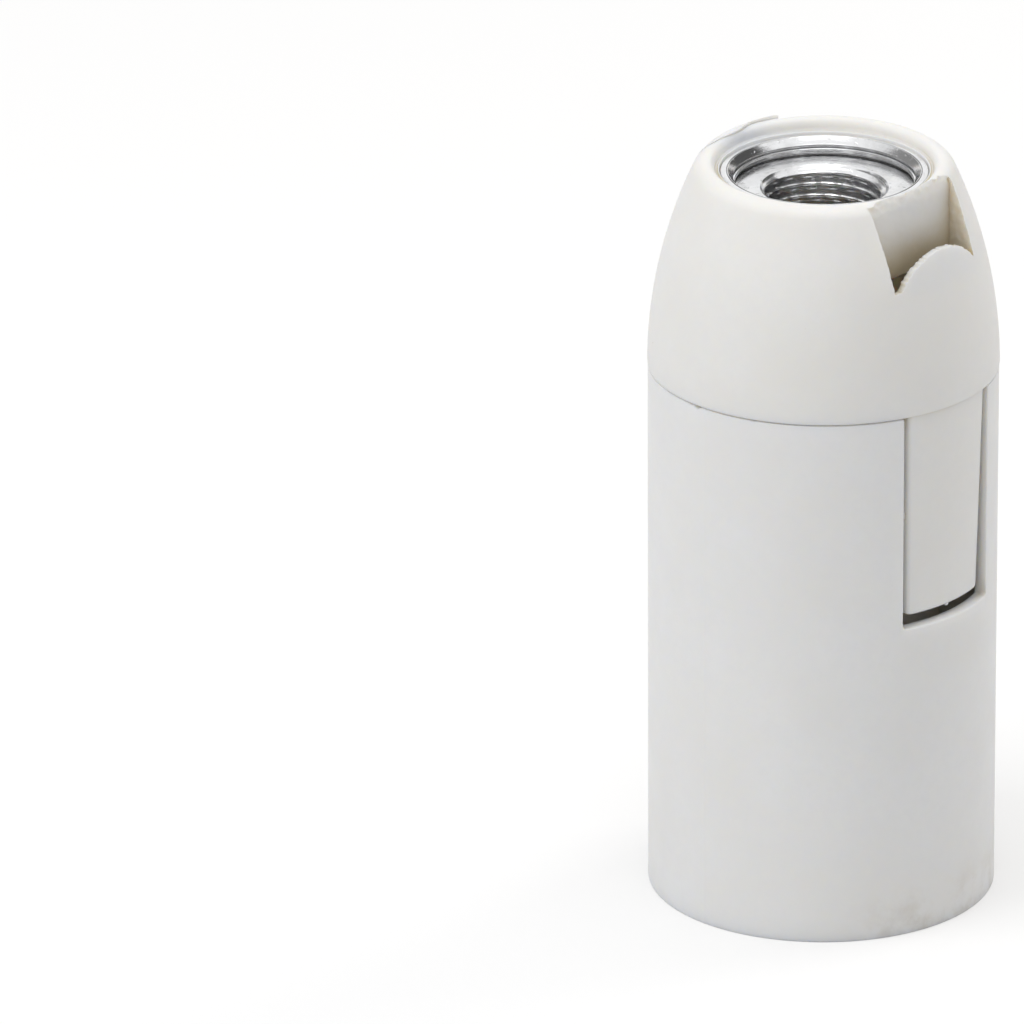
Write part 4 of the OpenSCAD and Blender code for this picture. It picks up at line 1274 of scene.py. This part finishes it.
def terminal_screw(metal, tree, material, y):
    """A slotted screw with a threaded shank."""
    low, top = metal.head_low - metal.reach, metal.head_low + metal.head_tall
    end = metal.shank - 0.12 * MM
    head = [(end, metal.head_low)] + rounded([
        (end + 0.1 * MM, metal.head_low), (metal.head, metal.head_low), (metal.head, top - 0.25 * MM),
        (metal.head - 0.5 * MM, top), (0.6 * MM, top),
    ], 0.15 * MM, 3, closed=False) + [(0, top)]
    values = {
        "Start": low, "Length": metal.reach, "Crest radius": metal.shank - 0.24 * MM, "Root radius": metal.shank,
        "End radius": end, "Pitch": 0.5 * MM, "Run-out": 0.3 * MM, "Columns": 72, "Rows": 91, "Material": material,
    }
    skin = joined(turned(head, 72, closed=False), turned([(end, low), (0, low)], 72, closed=False),
                  grown(tree, values))
    slot = block((-0.4 * MM, -5 * MM, top - 0.95 * MM), (0.4 * MM, 5 * MM, top + 1 * MM))
    return moved(combined(settled(skin), slot, "DIFFERENCE"), Matrix.Translation((0, y, 0)))


class LAMPHOLDER_OT_screws(bpy.types.Operator):
    """Builds the two slotted terminal screws"""

    bl_idname = "lamp_holder.screws"
    bl_label = "Terminal screws"

    def execute(self, context):
        holder = context.scene.lamp_holder
        metal = holder.metal
        material = screw_metal(holder.finish)
        for side, body in ((-1, "screw_centre"), (1, "screw_side")):
            screw = terminal_screw(metal, thread_tree(), material, side * metal.offset)
            finished(f"{body}_slotted", screw, material, body, [f"terminal_{body}"])
        return {"FINISHED"}


def soft_lamp(name, place, aim, size, power):
    """A large square lamp turned towards a point."""
    data = bpy.data.lights.new(name, "AREA")
    data.shape = "SQUARE"
    data.size = size
    data.energy = power
    lamp = bpy.data.objects.new(name, data)
    bpy.context.scene.collection.objects.link(lamp)
    lamp.location = place
    lamp.rotation_mode = "QUATERNION"
    lamp.rotation_quaternion = (aim - place).to_track_quat("-Z", "Y")
    return lamp


def dark_screen(name, middle, start, end, low, high, shade):
    """A curved dark board around the object that only shows in its reflections, between two angles and heights."""
    mesh = bpy.data.meshes.new(name)
    reach = 0.62
    points = [middle + Vector(polar(reach, a, z)) for z in (low, high) for a in spread(start, end, 25)]
    faces = [(i, i + 1, i + 26, i + 25) for i in range(24)]
    mesh.from_pydata(points, [], faces)
    screen = bpy.data.objects.new(name, mesh)
    bpy.context.scene.collection.objects.link(screen)
    material = bpy.data.materials.new(name)
    material.use_nodes = True
    tree = material.node_tree
    tree.nodes.clear()
    matt = add_node(tree, "ShaderNodeBsdfDiffuse", {"Color": (shade, shade, shade, 1)})
    add_node(tree, "ShaderNodeOutputMaterial", {"Surface": matt.outputs[0]})
    mesh.materials.append(material)
    for kind in ("camera", "diffuse", "shadow", "transmission", "volume_scatter"):
        setattr(screen, f"visible_{kind}", False)


def camera_axes(stage):
    """The camera's back, right and up directions at the object."""
    a, e = stage.azimuth, stage.elevation
    back = Vector((sin(a) * cos(e), -cos(a) * cos(e), sin(e)))
    right = Vector((cos(a), sin(a), 0))
    return back, right, back.cross(right)


def place_camera(stage, middle):
    """A long lens at the photograph's angle. The image is taken as 1024 pixels square."""
    back, right, up = camera_axes(stage)
    image = 1024
    camera = bpy.data.objects.new("camera", bpy.data.cameras.new("camera"))
    bpy.context.scene.collection.objects.link(camera)
    camera.data.sensor_width = 36
    camera.data.lens = stage.pixels * stage.distance / image * camera.data.sensor_width
    camera.data.clip_start = 0.05
    camera.data.clip_end = 20
    camera.location = middle + back * stage.distance
    across = (stage.place_x - image / 2) / stage.pixels
    down = (stage.place_y - image / 2) / stage.pixels
    aim = middle - right * across + up * down
    camera.rotation_mode = "QUATERNION"
    look = (aim - camera.location).to_track_quat("-Z", "Y")
    roll = Matrix.Rotation(stage.roll, 4, "Z").to_quaternion()
    camera.rotation_quaternion = look @ roll
    bpy.context.scene.camera = camera


def seen_directly(tree):
    """1 for rays from the camera and for rays mirrored or let through by the object."""
    rays = add_node(tree, "ShaderNodeLightPath").outputs
    bright = maths(tree, "MAXIMUM", rays["Is Camera Ray"], rays["Is Glossy Ray"])
    return maths(tree, "MAXIMUM", bright, rays["Is Transmission Ray"])


def floor_material():
    """Pale floor that looks white where nothing shades it and keeps the object's soft shadow."""
    material = bpy.data.materials.new("pale_floor")
    material.use_nodes = True
    tree = material.node_tree
    tree.nodes.clear()
    matt = add_node(tree, "ShaderNodeBsdfDiffuse", {"Color": (0.62, 0.62, 0.62, 1)})
    glow = add_node(tree, "ShaderNodeEmission", {"Strength": maths(tree, "MULTIPLY", seen_directly(tree), 0.34)})
    both = add_node(tree, "ShaderNodeAddShader", {0: matt.outputs[0], 1: glow.outputs[0]})
    add_node(tree, "ShaderNodeOutputMaterial", {"Surface": both.outputs[0]})
    return material


def white_world(scene, strength):
    """A world that is white to the camera and in reflections, and an even soft light otherwise."""
    world = bpy.data.worlds.new("studio")
    scene.world = world
    world.use_nodes = True
    tree = world.node_tree
    tree.nodes.clear()
    level = add_node(tree, "ShaderNodeMapRange", {
        "Value": seen_directly(tree), "To Min": strength, "To Max": 1.0,
    }).outputs[0]
    sky = add_node(tree, "ShaderNodeBackground", {"Color": (1, 1, 1, 1), "Strength": level})
    add_node(tree, "ShaderNodeOutputWorld", {"Surface": sky.outputs[0]})


class LAMPHOLDER_OT_stage(bpy.types.Operator):
    """Builds the pale floor, the soft studio light and the camera"""

    bl_idname = "lamp_holder.stage"
    bl_label = "Studio"

    def execute(self, context):
        scene = context.scene
        stage = scene.lamp_holder.stage
        scene.view_settings.view_transform = "Standard"
        middle = Vector((0, 0, CAD_BOX[1][2] / 2))
        place_camera(stage, middle)
        bm = bmesh.new()
        bmesh.ops.create_grid(bm, x_segments=1, y_segments=1, size=3)
        mesh = bpy.data.meshes.new("floor")
        bm.to_mesh(mesh)
        bm.free()
        floor = bpy.data.objects.new("floor", mesh)
        scene.collection.objects.link(floor)
        floor.data.materials.append(floor_material())
        white_world(scene, stage.sky)
        back, right, up = camera_axes(stage)
        flat_back = Vector((back.x, back.y, 0)).normalized()
        above = Vector((0, 0, 1))
        soft_lamp("key_lamp", middle - right * 0.55 + flat_back * 0.25 + above * 0.45, middle, 0.5, stage.key)
        soft_lamp("fill_lamp", middle + right * 0.5 - flat_back * 0.35 + above * 0.35, middle, 0.4, stage.fill)
        soft_lamp("top_lamp", middle + flat_back * 0.05 + above * 0.7, middle, 0.45, stage.high)
        soft_lamp("front_lamp", middle + flat_back * 0.7 + right * 0.1 + above * 0.3, middle, 0.5, stage.front)
        for lamp in ("key_lamp", "fill_lamp", "front_lamp"):
            bpy.data.objects[lamp].visible_glossy = False
        bpy.data.lights["fill_lamp"].color = (1, 0.955, 0.90)
        turn = stage.azimuth
        dark_screen("right_screen", middle, turn + radians(-16), turn + radians(66), 0.05, 0.55, 0.10)
        dark_screen("left_screen", middle, turn + radians(114), turn + radians(212), 0.05, 0.5, 0.32)
        for name, start, end in (("left", -148, -124), ("middle", -114, -57), ("right", -51, -17)):
            dark_screen(f"front_{name}_screen", middle, turn + radians(start), turn + radians(end), 0.05, 0.5, 0.30)
        return {"FINISHED"}


STEPS = (
    LAMPHOLDER_OT_stage,
    LAMPHOLDER_OT_sleeve,
    LAMPHOLDER_OT_cap,
    LAMPHOLDER_OT_entry,
    LAMPHOLDER_OT_core,
    LAMPHOLDER_OT_contacts,
    LAMPHOLDER_OT_terminals,
    LAMPHOLDER_OT_screws,
)


class LAMPHOLDER_PT_panel(bpy.types.Panel):
    """Lists the steps that build the lamp holder"""

    bl_idname = "LAMPHOLDER_PT_panel"
    bl_label = "Lamp Holder"
    bl_space_type = "VIEW_3D"
    bl_region_type = "UI"
    bl_category = "Lamp Holder"

    def draw(self, context):
        for step in STEPS:
            self.layout.operator(step.bl_idname)


CLASSES = (
    SleeveSizes, CapSizes, EntrySizes, CoreSizes, MetalSizes, Finishes, StageSizes, LampHolder, *STEPS,
    LAMPHOLDER_PT_panel,
)


def register():
    for item in CLASSES:
        bpy.utils.register_class(item)
    bpy.types.Scene.lamp_holder = PointerProperty(type=LampHolder)


def unregister():
    del bpy.types.Scene.lamp_holder
    for item in reversed(CLASSES):
        bpy.utils.unregister_class(item)


def main():
    """Builds everything."""
    register()
    for step in STEPS:
        group, name = step.bl_idname.split(".")
        getattr(getattr(bpy.ops, group), name)()


if __name__ == "__main__":
    main()
